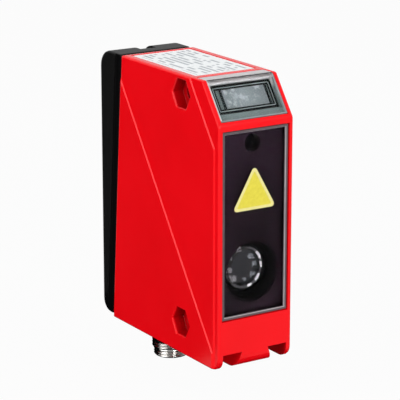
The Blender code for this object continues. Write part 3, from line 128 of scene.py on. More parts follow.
def axes_of(tree, where):
    """The three coordinates of a place, one by one."""
    return tuple(add_node(tree, "ShaderNodeSeparateXYZ", {"Vector": where}).outputs)


def arithmetic(tree, kind, *values):
    """One arithmetic node on numbers or links."""
    made = add_node(tree, "ShaderNodeMath", dict(enumerate(values)), operation=kind)
    return made.outputs[0]


def noise(tree, vector, scale, detail=3.0, roughness=0.5):
    """Fractal noise, as a number from nought to one."""
    made = add_node(tree, "ShaderNodeTexNoise", {
        "Vector": vector, "Scale": scale, "Detail": detail, "Roughness": roughness})
    return made.outputs["Fac"]


def ramp(tree, factor, stops):
    """A colour ramp; each stop is a place and a colour."""
    made = add_node(tree, "ShaderNodeValToRGB", {"Fac": factor})
    elements = made.color_ramp.elements
    for index, (place, colour) in enumerate(stops):
        element = elements[index] if index < len(elements) else elements.new(place)
        element.position = place
        element.color = (*colour, 1.0)
    return made.outputs["Color"]


def span(tree, value, low, high, start=0.0, stop=1.0):
    """Carry a number from the range start to stop into the range low to high."""
    made = add_node(tree, "ShaderNodeMapRange", {
        "Value": value, "From Min": start, "From Max": stop, "To Min": low, "To Max": high})
    return made.outputs["Result"]


def blend(tree, share, linked, plain):
    """A linked colour that turns into a plain one as the share goes from nought to one."""
    made = add_node(tree, "ShaderNodeMix", {
        "Factor": share, 6: linked, 7: (*plain, 1.0)}, data_type="RGBA")
    return made.outputs[2]


def connect(tree, shader, colour, roughness):
    """Link a colour and a roughness to the shader."""
    tree.links.new(colour, shader.inputs["Base Color"])
    tree.links.new(roughness, shader.inputs["Roughness"])


def bump(tree, shader, height, depth, strength=1.0, edge=0.0):
    """Raise the surface by a height pattern, depth in metres; edge softens corners by a radius."""
    made = add_node(tree, "ShaderNodeBump", {
        "Height": height, "Distance": depth, "Strength": strength})
    if edge:
        soft = add_node(tree, "ShaderNodeBevel", {"Radius": edge}, samples=6)
        tree.links.new(soft.outputs["Normal"], made.inputs["Normal"])
    tree.links.new(made.outputs["Normal"], shader.inputs["Normal"])


# %% [markdown]
# The housing is cast metal under a satin red lacquer. Lacquer is never quite
# even: it has a faint orange-peel swell about a millimetre across, and its
# depth of colour drifts slowly over the surface. Both come from noise. The nut
# pockets and the slots of the foot get painted shade: the red is painted darker
# with depth there, standing in for the shade inside them. The two pockets lie
# at equal heights above and below one middle, so one distance from the folded
# height finds both.

# %% Red lacquer
POCKET_DEPTH, POCKET_MIDDLE, POCKET_REACH, POCKET_RADIUS = -0.0005, 0.0489, 0.0379, 0.0052
POCKET_MOUTH, POCKET_INSIDE = 0.0146, 0.0136
SLOT_MIDDLE, SLOT_HALF, SLOT_TOP = 0.00965, 0.0027, 0.0056
SLOT_MOUTH, SLOT_INSIDE = -0.0220, -0.0205
# The second red is painted shade, for deep inside the pockets and slots.
PLAIN_RED, POCKET_SHADE_RED = (0.76, 0.001, 0.005), (0.42, 0.0005, 0.0030)


def painted_shade_in_pockets(tree, where):
    """Painted shade mask: nought outside, one deep in a pocket or slot: near its middle, times how far in.
    """
    x, y, z = axes_of(tree, where)
    step = partial(arithmetic, tree)
    folded = step("SUBTRACT", step("ABSOLUTE", step("SUBTRACT", z, POCKET_MIDDLE)), POCKET_REACH)
    along = step("SUBTRACT", y, POCKET_DEPTH)
    distance = step("SQRT", step(
        "ADD", step("MULTIPLY", folded, folded), step("MULTIPLY", along, along)))
    outward = step("ABSOLUTE", x)
    inward = span(tree, outward, 0.0, 1.0, POCKET_MOUTH, POCKET_INSIDE)
    pocket = step("MULTIPLY", step("LESS_THAN", distance, POCKET_RADIUS), inward)
    across = step("ABSOLUTE", step("SUBTRACT", outward, SLOT_MIDDLE))
    near_slot = step(
        "MULTIPLY", step("LESS_THAN", across, SLOT_HALF), step("LESS_THAN", z, SLOT_TOP))
    behind = span(tree, y, 0.0, 1.0, SLOT_MOUTH, SLOT_INSIDE)
    return step("MAXIMUM", pocket, step("MULTIPLY", near_slot, behind))


def red_lacquer():
    """Deep red with slow colour drift, fine orange peel, a little gloss change, painted shade in pockets.
    """
    made, tree, shader = finish_named("red_lacquer", PLAIN_RED, 0.25, Specular_IOR_Level=0.20)
    where = place_on_object(tree)
    drift = noise(tree, where, 38.0, 2.0)
    colour = ramp(tree, drift, [(0.30, (0.73, 0.0007, 0.0040)), (0.70, (0.79, 0.0011, 0.0054))])
    # Painted shade: the red darkens deep in the nut pockets and the foot slots.
    shaded = blend(tree, painted_shade_in_pockets(tree, where), colour, POCKET_SHADE_RED)
    connect(tree, shader, shaded, span(tree, noise(tree, where, 420.0, 3.0), 0.20, 0.28))
    bump(tree, shader, noise(tree, where, 900.0, 2.0), 0.000012, 0.5, 0.00030)
    return made


RED = red_lacquer()
print("finish:", RED.name)

# %% [markdown]
# The rear cover, the optics carrier and the plug insert are black mouldings.
# A tool for such a cover is spark-eroded, which leaves a fine dull grain, so
# the bump is tiny and close. Inside parts are the same plastic, a bit smoother.

# %% Black mouldings
def black_moulding(name, colour, grain, depth, low, high, level, edge=0.0):
    """Near-black plastic with an eroded grain and slightly uneven gloss."""
    made, tree, shader = finish_named(name, colour, (low + high) / 2, Specular_IOR_Level=level)
    fine = noise(tree, place_on_object(tree), grain, 4.0, 0.65)
    lighter = tuple(v * 1.5 for v in colour)
    tone = ramp(tree, fine, [(0.35, colour), (0.75, lighter)])
    connect(tree, shader, tone, span(tree, fine, low, high))
    bump(tree, shader, fine, depth, 0.8, edge)
    return made


COVER_BLACK = black_moulding(
    "cover_black", (0.0016, 0.0016, 0.0017), 2600.0, 0.000020, 0.36, 0.48, 0.08, 0.0003)
INSIDE_BLACK = black_moulding(
    "inside_black", (0.0008, 0.0008, 0.0009), 1800.0, 0.000008, 0.36, 0.48, 0.01)
TUBE_BLACK = black_moulding(
    "tube_black", (0.0004, 0.0004, 0.0005), 1500.0, 0.000004, 0.30, 0.42, 0.006)
BEZEL_BLACK = black_moulding(
    "bezel_black", (0.0020, 0.0026, 0.0030), 1500.0, 0.000006, 0.40, 0.50, 0.05)
SEAL_BLACK = black_moulding(
    "seal_rubber", (0.0040, 0.0040, 0.0042), 1400.0, 0.000015, 0.62, 0.76, 0.15)
CHIP_BLACK = black_moulding(
    "chip_black", (0.0080, 0.0080, 0.0090), 2200.0, 0.000012, 0.50, 0.62, 0.30)
print("finishes:", COVER_BLACK.name, INSIDE_BLACK.name, BEZEL_BLACK.name, SEAL_BLACK.name)

# %% [markdown]
# Grey plastic frames the window and backs the display; the pale grey of the
# window frame's lip is a painted highlight. Moulded plastic keeps a soft
# cloudiness where it flowed, which one slow noise gives.

# %% Grey mouldings
def grey_moulding(name, low, high, roughness):
    """Grey plastic between two tones, with a cloudy flow and a fine grain."""
    made, tree, shader = finish_named(name, low, roughness, Specular_IOR_Level=0.4)
    where = place_on_object(tree)
    cloud = noise(tree, where, 160.0, 4.0, 0.6)
    fine = noise(tree, where, 1600.0, 2.0)
    tone = ramp(tree, cloud, [(0.32, low), (0.68, high)])
    connect(tree, shader, tone, span(tree, fine, roughness - 0.06, roughness + 0.06))
    bump(tree, shader, fine, 0.000008, 0.6)
    return made


FRAME_GREY = grey_moulding("frame_grey", (0.070, 0.052, 0.058), (0.095, 0.074, 0.080), 0.36)
# The lip's pale grey is a painted highlight on the frame's sloping inner side.
FRAME_LIP_HIGHLIGHT = grey_moulding("frame_lip_highlight", (0.28, 0.26, 0.27), (0.36, 0.34, 0.35), 0.28)
GROOVE_GREY = grey_moulding("groove_grey", (0.16, 0.19, 0.20), (0.24, 0.27, 0.28), 0.40)
print("finishes:", FRAME_GREY.name, FRAME_LIP_HIGHLIGHT.name, GROOVE_GREY.name)

# %% [markdown]
# The window and the display cover are clear plastic. Clear plastic passes
# light, so it is full transmission with a low index and almost no roughness,
# and a very faint ripple keeps its reflections from looking like a mirror.

# %% Clear plastic and lens glass
def clear_plastic(name, tint, low, high, index, ripple=0.15):
    """Transparent plastic whose gloss varies a little."""
    made, tree, shader = finish_named(
        name, tint, (low + high) / 2, Transmission_Weight=1.0, IOR=index)
    where = place_on_object(tree)
    tree.links.new(span(tree, noise(tree, where, 240.0, 2.0), low, high), shader.inputs["Roughness"])
    bump(tree, shader, noise(tree, where, 70.0, 1.0), 0.00001, ripple)
    return made


PANE_CLEAR = clear_plastic("pane_clear", (0.96, 0.93, 0.97), 0.01, 0.04, 1.07)
COVER_CLEAR = clear_plastic("cover_clear", (0.95, 0.97, 0.97), 0.01, 0.05, 1.12)
LENS_GLASS = clear_plastic("lens_glass", (0.84, 0.92, 0.95), 0.005, 0.02, 1.30, 0.01)
RIM_GLASS = clear_plastic("rim_glass", (0.84, 0.92, 0.95), 0.02, 0.05, 1.65, 0.01)
COATED_GLASS = clear_plastic("coated_glass", (0.06, 0.065, 0.075), 0.01, 0.03, 1.04, 0.01)
print("finishes:", PANE_CLEAR.name, COVER_CLEAR.name, LENS_GLASS.name)

# %% [markdown]
# Cut and moulded edges of clear plastic scatter light, so they look frosted
# and almost white. They get a finish of their own: pale, dull and only a
# little see-through. On the display cover this pale finish is partly a
# painted highlight, where the left border and the fold catch the light.

# %% Frosted edges of clear plastic
def frosted_edge_highlight():
    """Pale plastic that lets a little light through, cloudy with noise; partly a painted highlight."""
    made, tree, shader = finish_named(
        "frosted_edge_highlight", (0.56, 0.54, 0.55), 0.30, Transmission_Weight=0.20, IOR=1.4)
    where = place_on_object(tree)
    cloud = noise(tree, where, 380.0, 4.0, 0.6)
    tone = ramp(tree, cloud, [(0.30, (0.46, 0.44, 0.45)), (0.70, (0.64, 0.62, 0.63))])
    connect(tree, shader, tone, span(tree, cloud, 0.22, 0.38))
    return made


FROSTED_HIGHLIGHT = frosted_edge_highlight()
print("finish:", FROSTED_HIGHLIGHT.name)

# %% [markdown]
# Behind the pane lies a printed film, near black with a plum cast. Screen
# printing leaves a fine speckle, and the ink is a touch denser in places.
# Towards the top the ink is painted paler: a painted reflection on the window.

# %% Printed mask
# The second ink is a painted reflection, the paler tone towards the top.
INK, SHEEN_INK = (0.0032, 0.0015, 0.0027), (0.0100, 0.0056, 0.0090)
SHEEN_FROM, SHEEN_TO = 0.050, 0.080


def printed_mask():
    """Dark plum ink with a fine speckle, painted paler with height as a reflection."""
    made, tree, shader = finish_named("printed_mask", INK, 0.50, Specular_IOR_Level=0.02)
    where = place_on_object(tree)
    speck = noise(tree, where, 2400.0, 3.0, 0.7)
    mixed = arithmetic(tree, "MULTIPLY", speck, noise(tree, where, 45.0, 2.0))
    dense = ramp(tree, mixed, [(0.15, (0.0028, 0.0014, 0.0023)), (0.40, (0.0046, 0.0023, 0.0038))])
    # Painted reflection: the ink pales between the two heights.
    height = span(tree, axes_of(tree, where)[2], 0.0, 1.0, SHEEN_FROM, SHEEN_TO)
    connect(tree, shader, blend(tree, height, dense, SHEEN_INK), span(tree, speck, 0.44, 0.56))
    return made


MASK_INK = printed_mask()
print("finish:", MASK_INK.name)

# %% [markdown]
# Metals: the plug is nickelled brass turned on a lathe, so it has fine rings
# about its upright axis. Screws are steel, the laser holder is brass that was
# blackened so that it throws no stray light, and the contacts are gold plated.
# One function makes them all: noise squeezed along one direction gives the
# tool marks.

# %% Metals
def turned_metal(name, dark, light, low, high, scale):
    """Metal with fine tool marks; scale squeezes the noise along the turning axis."""
    made, tree, shader = finish_named(name, light, (low + high) / 2, Metallic=1.0)
    marks = noise(tree, place_on_object(tree, scale), 1.0, 3.0, 0.6)
    tone = ramp(tree, marks, [(0.30, dark), (0.65, light)])
    connect(tree, shader, tone, span(tree, marks, low, high))
    bump(tree, shader, marks, 0.000006, 0.5)
    return made


NICKEL = turned_metal(
    "nickel_plate", (0.48, 0.47, 0.45), (0.66, 0.65, 0.62), 0.10, 0.18, (300.0, 300.0, 5200.0))
STEEL = turned_metal(
    "screw_steel", (0.34, 0.34, 0.35), (0.56, 0.56, 0.57), 0.24, 0.38, (900.0, 900.0, 900.0))
HOLDER = turned_metal(
    "blackened_brass", (0.0012, 0.0010, 0.0008), (0.0024, 0.0020, 0.0014), 0.34, 0.46,
    (300.0, 4200.0, 300.0))
GOLD = turned_metal(
    "contact_gold", (0.66, 0.46, 0.13), (0.84, 0.62, 0.20), 0.18, 0.28, (700.0, 700.0, 2600.0))
print("finishes:", NICKEL.name, STEEL.name, HOLDER.name, GOLD.name)

# %% [markdown]
# Circuit boards are glass cloth under green solder mask. The cloth's weave
# shows faintly as two sets of waves at right angles.

# %% Circuit board
def circuit_board():
    """Green solder mask over a fine woven cloth."""
    made, tree, shader = finish_named(
        "circuit_board", (0.015, 0.13, 0.05), 0.42, Specular_IOR_Level=0.4)
    where = place_on_object(tree)
    across, upward = (
        add_node(tree, "ShaderNodeTexWave", {
            "Vector": where, "Scale": 420.0}, bands_direction=axis).outputs["Fac"] for axis in "XZ")
    tone = ramp(tree, noise(tree, where, 260.0, 3.0), [
        (0.30, (0.010, 0.100, 0.035)), (0.70, (0.022, 0.165, 0.060))])
    tree.links.new(tone, shader.inputs["Base Color"])
    bump(tree, shader, arithmetic(tree, "MULTIPLY", across, upward), 0.00001, 0.4)
    return made


BOARD_GREEN = circuit_board()
print("finish:", BOARD_GREEN.name)

# %% [markdown]
# The label on the top is white film with rows of plain grey bars, cut into
# lengths of different size. The rows come from the distance across, counted in
# steps, and a stretched noise decides where a bar stops.

# %% Label with plain bars
label_low, label_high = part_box("top_label")
ROW_PITCH, BAR_SHARE, BAR_START = 0.0021, 0.50, 0.47
PRINT_HALF_WIDTH, PRINT_HALF_LENGTH = 0.0098, 0.0178
ROW_SHIFT, BARS_PER_METRE = 7.3, 210.0
BAR_GREY = (0.34, 0.37, 0.40)


def label_film():
    """White film with rows of plain grey bars."""
    made, tree, shader = finish_named(
        "label_film", (0.84, 0.86, 0.86), 0.38, Specular_IOR_Level=0.4)
    middle = (label_low + label_high) / 2
    where = place_on_object(tree, shift=(-middle.x, -middle.y, 0.0))
    x, y = axes_of(tree, where)[:2]
    step = partial(arithmetic, tree)
    rows = step("MULTIPLY", x, 1.0 / ROW_PITCH)
    in_row = step("LESS_THAN", step("FRACT", rows), BAR_SHARE)
    lengthwise = add_node(tree, "ShaderNodeCombineXYZ", {
        "X": step("MULTIPLY", step("FLOOR", rows), ROW_SHIFT),
        "Y": step("MULTIPLY", y, BARS_PER_METRE)})
    in_bar = step("GREATER_THAN", noise(tree, lengthwise.outputs["Vector"], 1.0, 1.0), BAR_START)
    inside = step(
        "MULTIPLY", step("LESS_THAN", step("ABSOLUTE", x), PRINT_HALF_WIDTH),
        step("LESS_THAN", step("ABSOLUTE", y), PRINT_HALF_LENGTH))
    ink = step("MULTIPLY", step("MULTIPLY", in_row, in_bar), inside)
    paper = noise(tree, where, 700.0, 3.0)
    base = ramp(tree, paper, [(0.3, (0.77, 0.80, 0.81)), (0.7, (0.84, 0.86, 0.865))])
    connect(tree, shader, blend(tree, ink, base, BAR_GREY), span(tree, paper, 0.32, 0.44))
    return made


LABEL_WHITE = label_film()
print("label, mm:", [round(v * 1000, 1) for v in (label_high - label_low)])

# %% [markdown]
# The display is a liquid crystal cell that is switched off: a grey field with
# a dark bar near each end. The distance across the cell, carried into nought
# to one, places the bars with one colour ramp.
# A slow noise paints a pale, cloudy sheen over the middle: a painted reflection.

# %% Display cell and its surround
CELL_GREEN, CELL_GREY = (0.085, 0.105, 0.105), (0.135, 0.150, 0.160)
CELL_BAR = (0.0045, 0.0065, 0.0075)
# The pale colour, its share and its reach paint a reflection over the cell.
CELL_SHEEN, SHEEN_SHARE, SHEEN_REACH = (0.52, 0.54, 0.56), 0.75, 0.34
CELL_HALF = 0.0100


def display_cell():
    """Grey field with two dark bars by the distance across, and a painted pale sheen between them."""
    made, tree, shader = finish_named(
        "display_cell", (0.16, 0.18, 0.19), 0.24, Specular_IOR_Level=0.12)
    where = place_on_object(tree)
    along = span(tree, axes_of(tree, where)[0], 0.0, 1.0, -CELL_HALF, CELL_HALF)
    field = ramp(tree, along, [
        (0.065, CELL_GREEN), (0.075, CELL_BAR), (0.120, CELL_BAR), (0.130, CELL_GREY),
        (0.50, (0.185, 0.205, 0.215)), (0.915, CELL_GREY), (0.925, CELL_BAR), (0.965, CELL_BAR),
        (0.975, CELL_GREEN)])
    # Painted reflection: a pale cloudy sheen over the middle of the cell.
    cloud = noise(tree, where, 330.0, 5.0, 0.62)
    pale = ramp(tree, cloud, [(0.52, (0.0, 0.0, 0.0)), (0.74, (1.0, 1.0, 1.0))])
    in_middle = arithmetic(tree, "COMPARE", along, 0.5, SHEEN_REACH)
    share = arithmetic(tree, "MULTIPLY", pale, in_middle)
    share = arithmetic(tree, "MULTIPLY", share, SHEEN_SHARE)
    connect(tree, shader, blend(tree, share, field, CELL_SHEEN), span(tree, cloud, 0.18, 0.30))
    return made


surround_low, surround_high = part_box("display_surround")
SLANT_DROP, SLANT_SETBACK = 0.01285, 0.0095
FOLD_DEPTH = 0.0101
SURROUND_CLOUD = (0.20, 0.26, 0.25)


def surround_painted_sheen():
    """Grey painted paler up the slope towards the fold: a painted sheen."""
    made, tree, shader = finish_named(
        "surround_grey", (0.22, 0.25, 0.25), 0.38, Specular_IOR_Level=0.15)
    where = place_on_object(tree)
    along = span(tree, axes_of(tree, where)[1], 0.0, 1.0, surround_low.y, surround_high.y)
    at_fold = FOLD_DEPTH / (surround_high.y - surround_low.y)
    # Painted sheen: the grey pales from the foot of the slope up to the fold.
    tone = ramp(tree, along, [
        (0.0, (0.085, 0.105, 0.105)), (at_fold - 0.34, (0.14, 0.16, 0.17)),
        (at_fold - 0.24, (0.52, 0.50, 0.52)), (at_fold - 0.06, (0.72, 0.68, 0.69)),
        (1.0, (0.76, 0.71, 0.70))])
    cloud = noise(tree, where, 210.0, 4.0, 0.6)
    clouded = blend(tree, span(tree, cloud, 0.0, 0.4), tone, SURROUND_CLOUD)
    connect(tree, shader, clouded, span(tree, cloud, 0.32, 0.44))
    return made


DISPLAY_GREY = display_cell()
SURROUND_GREY = surround_painted_sheen()
print("finishes:", DISPLAY_GREY.name, SURROUND_GREY.name)

# %% [markdown]
# Yellow film for the plain triangle: one tone for the field and a paler one
# for the raised edge, both slightly mottled as printed film is.

# %% Yellow film
def yellow_film(name, low, high):
    """Printed yellow between two close tones."""
    made, tree, shader = finish_named(name, low, 0.36, Specular_IOR_Level=0.35)
    mottle = noise(tree, place_on_object(tree), 900.0, 3.0, 0.6)
    tone = ramp(tree, mottle, [(0.3, low), (0.7, high)])
    connect(tree, shader, tone, span(tree, mottle, 0.30, 0.42))
    return made


YELLOW = yellow_film("yellow_film", (0.58, 0.50, 0.040), (0.66, 0.58, 0.060))
YELLOW_EDGE = yellow_film("yellow_edge", (0.64, 0.58, 0.22), (0.72, 0.66, 0.27))
print("finishes:", YELLOW.name, YELLOW_EDGE.name)

# %% [markdown]
# Each CAD solid whose shape is right keeps its place in the picture and gets
# its finish through its material slots. One table holds the whole choice.

# %% Finishes for the CAD solids
FINISH_OF = {name: finish for finish, names in (
    (RED, "housing"),
    (COVER_BLACK, "rear_cover"),
    (SEAL_BLACK, "cover_gasket connector_seal"),
    (PANE_CLEAR, "front_window"),
    (MASK_INK, "aperture_mask"),
    (FRAME_GREY, "window_frame"),
    (YELLOW, "triangle_sticker"),
    (COVER_CLEAR, "display_cover"),
    (SURROUND_GREY, "display_surround"),
    (BEZEL_BLACK, "display_bezel"),
    (DISPLAY_GREY, "display_panel"),
    (LABEL_WHITE, "top_label"),
    (INSIDE_BLACK, "optics_carrier lens_tube lens_retainer contact_carrier"),
    (LENS_GLASS, "receiver_lens"),
    (COATED_GLASS, "collimator_lens"),
    (CHIP_BLACK, "image_sensor processor_chip"),
    (HOLDER, "laser_holder"),
    (STEEL, "laser_diode carrier_screw_left carrier_screw_right"),
    (NICKEL, "connector_shell connector_nut"),
    (BOARD_GREEN, "display_board sensor_board laser_board main_board connector_board"),
) for name in names.split()}
for name, solid in node.items():
    finish = FINISH_OF.get(name)
    if name.startswith("cover_screw"):
        finish = STEEL
    if name.startswith("contact_pin"):
        finish = GOLD
    solid.data.materials.clear()
    solid.data.materials.append(finish)
print("CAD solids with a finish:", len(node))

# %% [markdown]
# New surfaces are grids: a function gives a point for every pair of
# parameters, numpy works out all points at once, and one helper writes the
# grid into a mesh. Where a direction closes on itself, the last row joins the
# first one.

# %% Helpers for surfaces
def face_grid(rows, columns, wrap_rows, wrap_columns):
    """Corner numbers of every quad in a grid, as an array of four columns."""
    row = np.arange(rows if wrap_rows else rows - 1)
    column = np.arange(columns if wrap_columns else columns - 1)
    a, b = np.meshgrid(row, column, indexing="ij")
    after_a, after_b = (a + 1) % rows, (b + 1) % columns
    corners = [
        a * columns + b, after_a * columns + b, after_a * columns + after_b, a * columns + after_b]
    return np.stack([c.ravel() for c in corners], axis=1)


def surface(name, points, finishes, wrap_rows=False, wrap_columns=False, caps=(), slots=None,
            sharp=35.0, cap_slot=0):
    """A piece from a grid of points. caps are rows to fill, slots gives each quad its finish."""
    rows, columns = points.shape[:2]
    quads = face_grid(rows, columns, wrap_rows, wrap_columns)
    faces = quads.tolist() + [[r * columns + c for c in range(columns)] for r in caps]
    mesh = bpy.data.meshes.new(name)
    mesh.from_pydata(points.reshape(-1, 3).tolist(), [], faces)
    for finish in finishes:
        mesh.materials.append(finish)
    if slots is not None:
        shape = (rows if wrap_rows else rows - 1, columns if wrap_columns else columns - 1)
        chosen = np.broadcast_to(np.asarray(slots, dtype=np.int32), shape).ravel()
        index = np.full(len(faces), cap_slot, dtype=np.int32)
        index[:len(chosen)] = chosen
        mesh.polygons.foreach_set("material_index", index)
    shape = bmesh.new()
    shape.from_mesh(mesh)
    bmesh.ops.remove_doubles(shape, verts=shape.verts, dist=1e-7)
    bmesh.ops.recalc_face_normals(shape, faces=shape.faces)
    shape.to_mesh(mesh)
    shape.free()
    mesh.shade_smooth()
    mesh.set_sharp_from_angle(angle=math.radians(sharp))
    piece = bpy.data.objects.new(name, mesh)
    bpy.context.scene.collection.objects.link(piece)
    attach(piece, "root")
    return piece


def lathe(profile, steps, axis, centre):
    """Points of a profile (radius, height) turned about an axis, upright or along the depth."""
    profile = np.asarray(profile, dtype=float)
    angle = np.linspace(0.0, 2 * np.pi, steps, endpoint=False)[:, None]
    radius, height = profile[None, :, 0], profile[None, :, 1]
    first, second = radius * np.cos(angle), radius * np.sin(angle)
    height = np.broadcast_to(height, first.shape)
    stack = (first, second, height) if axis == "Z" else (first, height, second)
    return np.stack(stack, axis=2) + np.asarray(centre, dtype=float)


# %% [markdown]
# The plug has a fine thread with a pitch of about a millimetre. A thread is a
# lathe profile whose radius also depends on the angle: the groove's depth is a
# cosine of height over pitch minus the turn, so that it climbs one pitch in
# each turn and meets itself at the seam.

# %% Threaded plug
shell_low, shell_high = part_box("connector_shell")
plug_x, plug_y = (shell_low.x + shell_high.x) / 2, (shell_low.y + shell_high.y) / 2
COLLAR_TOP, COLLAR_FOOT, COLLAR_CONE = 0.0041, -0.0081, 0.0010
THREAD_START, THREAD_OUTER, PITCH, GROOVE = -0.0058, 0.0060, 0.00105, 0.00034
BORE, NECK = 0.0043, 0.0052
CHAMFER = 0.0004
PLUG_STEPS = 120


def threaded_plug():
    """Radius = outline - groove * (1 - cos(2 pi phase)) / 2, with phase = height / pitch - turn."""
    end, top = shell_low.z, shell_high.z
    collar = (shell_high.x - shell_low.x) / 2
    outer = np.array([
        (NECK, top), (NECK, COLLAR_TOP), (collar - CHAMFER, COLLAR_TOP),
        (collar, COLLAR_TOP - CHAMFER)])
    heights = np.linspace(THREAD_START, end + 0.0003, 76)
    cone = np.interp(-heights, [-COLLAR_FOOT, -COLLAR_FOOT + COLLAR_CONE], [collar, THREAD_OUTER])
    at_end = np.minimum(cone, THREAD_OUTER - CHAMFER + 0.9 * (heights - end))
    outline = np.where(heights > end + 2 * CHAMFER, cone, at_end)
    thread = np.stack([outline, heights], axis=1)
    lower = np.array([
        (THREAD_OUTER - CHAMFER, end), (BORE + 0.0003, end), (BORE, end + 0.0003), (BORE, top)])
    profile = np.vstack([outer, thread, lower])
    points = lathe(profile, PLUG_STEPS, "Z", (0.0, 0.0, 0.0))
    turn = np.arange(PLUG_STEPS)[:, None] / PLUG_STEPS
    phase = profile[None, :, 1] / PITCH - turn
    share = np.zeros(len(profile))
    share[len(outer):-len(lower)] = np.clip(np.minimum(
        (THREAD_START - heights) / 0.0006, (heights - end - CHAMFER) / 0.0005), 0.0, 1.0)
    cut = GROOVE * (1 - np.cos(2 * np.pi * phase)) / 2 * share[None, :]
    scale = 1 - cut / profile[None, :, 0]
    points[..., :2] *= scale[..., None]
    points += np.array([plug_x, plug_y, 0.0])
    return surface("plug_thread", points, [NICKEL], wrap_rows=True, wrap_columns=True, sharp=50.0)


plug = threaded_plug()
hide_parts("connector_shell")
print("plug faces:", len(plug.data.polygons))

# %% [markdown]
# Light that enters the large hole passes a ribbed tube, whose ribs catch stray
# rays, and then the receiving lens. The tube and its ring are lathe profiles
# along the depth, with soft shoulders on every rib.

# %% Ribbed tube, ring and lens
tube_low, tube_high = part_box("lens_tube")
lens_low, lens_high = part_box("receiver_lens")
ring_low, ring_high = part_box("lens_retainer")
eye_z = (tube_low.z + tube_high.z) / 2
TUBE_OUTER = (tube_high.x - tube_low.x) / 2
LENS_OUTER = (lens_high.x - lens_low.x) / 2
RING_OUTER = (ring_high.x - ring_low.x) / 2


TUBE_BORE, RIB_HEIGHT, RIB_COUNT = 0.0093, 0.00045, 4.0
RIB_START, RIBBED_LENGTH = 0.00015, 0.00325


def ribbed_tube():
    """Profile (radius, depth): bore + height * (half - half cosine) ^ 1.5, then the lens's seat."""
    front, back = tube_low.y, tube_high.y
    seat, lip = LENS_OUTER + 0.0003, LENS_OUTER - 0.0008
    depth = np.linspace(RIB_START, RIB_START + RIBBED_LENGTH, 60)
    along = np.clip((depth - RIB_START) / RIBBED_LENGTH, 0.0, 1.0)
    wave = 0.5 - 0.5 * np.cos(2 * np.pi * along * RIB_COUNT)
    ribs = np.stack([TUBE_BORE + RIB_HEIGHT * wave ** 1.5, front + depth], axis=1)
    tail = [
        (TUBE_BORE, front + 0.0035), (seat, front + 0.0036), (seat, back - 0.0030),
        (lip, back - 0.0028), (lip, back), (TUBE_OUTER, back), (TUBE_OUTER, front + 0.0002),
        (TUBE_OUTER - 0.0002, front), (TUBE_BORE + 0.0002, front)]
    profile = np.vstack([ribs, np.array(tail)])
    points = lathe(profile, 96, "Y", ((tube_low.x + tube_high.x) / 2, 0.0, eye_z))
    return surface("ribbed_tube", points, [TUBE_BLACK], wrap_rows=True, wrap_columns=True)


RIDGE, RIDGE_WIDTH, RIDGE_LEAN = 0.0069, 0.00070, math.radians(25.0)
FRONT_RISE, BACK_RISE = 0.0013, 0.0016


def lens_surface():
    """Front cap z = sqrt(R^2 - r^2) - (R - rise), a ridge of two cones at the rim, and a back cap."""
    def cap(radius, rise):
        """Height of a spherical cap of this rise over each radius."""
        full = radius.max()
        ball = (full ** 2 + rise ** 2) / (2 * rise)
        return np.sqrt(ball ** 2 - radius ** 2) - (ball - rise)

    climb = RIDGE_WIDTH * math.tan(RIDGE_LEAN)
    front_rim, back_rim = lens_low.y + 0.0015, lens_high.y - BACK_RISE
    inner = np.linspace(0.0, RIDGE - RIDGE_WIDTH, 20)
    front = np.stack([inner, front_rim - cap(inner, FRONT_RISE)], axis=1)
    ridge = np.array([
        (RIDGE - 0.00006, front_rim - climb), (RIDGE + 0.00006, front_rim - climb),
        (RIDGE + RIDGE_WIDTH, front_rim), (LENS_OUTER - 0.0001, front_rim + 0.0001),
        (LENS_OUTER, front_rim + 0.0003)])
    outer = np.linspace(0.0, LENS_OUTER, 14)
    back = np.stack([outer[::-1], back_rim + cap(outer, BACK_RISE)[::-1]], axis=1)
    profile = np.vstack([front, ridge, back])
    points = lathe(profile, 96, "Y", (0.0, 0.0, eye_z))
    slots = np.zeros(len(profile) - 1, dtype=int)
    slots[len(front) - 1:len(front) + 3] = 1
    return surface(
        "receiving_lens", points, [LENS_GLASS, RIM_GLASS], wrap_rows=True, slots=slots[None, :],
        sharp=14.0)


def retaining_ring():
    """A flat ring with a chamfered mouth."""
    front, back = ring_low.y, ring_high.y
    inner = RING_OUTER - 0.0013
    profile = [(RING_OUTER, front), (RING_OUTER, back), (inner, back), (inner, back - 0.0001),
               (inner + 0.0005, front), (RING_OUTER - 0.0001, front)]
    points = lathe(profile, 96, "Y", (0.0, 0.0, eye_z))
    return surface("retaining_ring", points, [INSIDE_BLACK], wrap_rows=True, wrap_columns=True)


tube = ribbed_tube()
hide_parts("lens_tube")
lens = lens_surface()
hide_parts("receiver_lens")
ring = retaining_ring()
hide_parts("lens_retainer")
print("eye height, mm:", round(eye_z * 1000, 2))

# %% [markdown]
# The printed film behind the pane has one large and one small round hole. A
# plate with a hole is a grid that closes on itself twice: each angle gives a
# point on the circle and one on the rectangle. The film is two such plates,
# one on top of the other.

# %% Printed film
film_low, film_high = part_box("aperture_mask")
FILM_SPLIT = 0.0600
LARGE_HOLE, SMALL_HOLE = (eye_z - 0.0002, 0.0100), (0.0731, 0.0030)


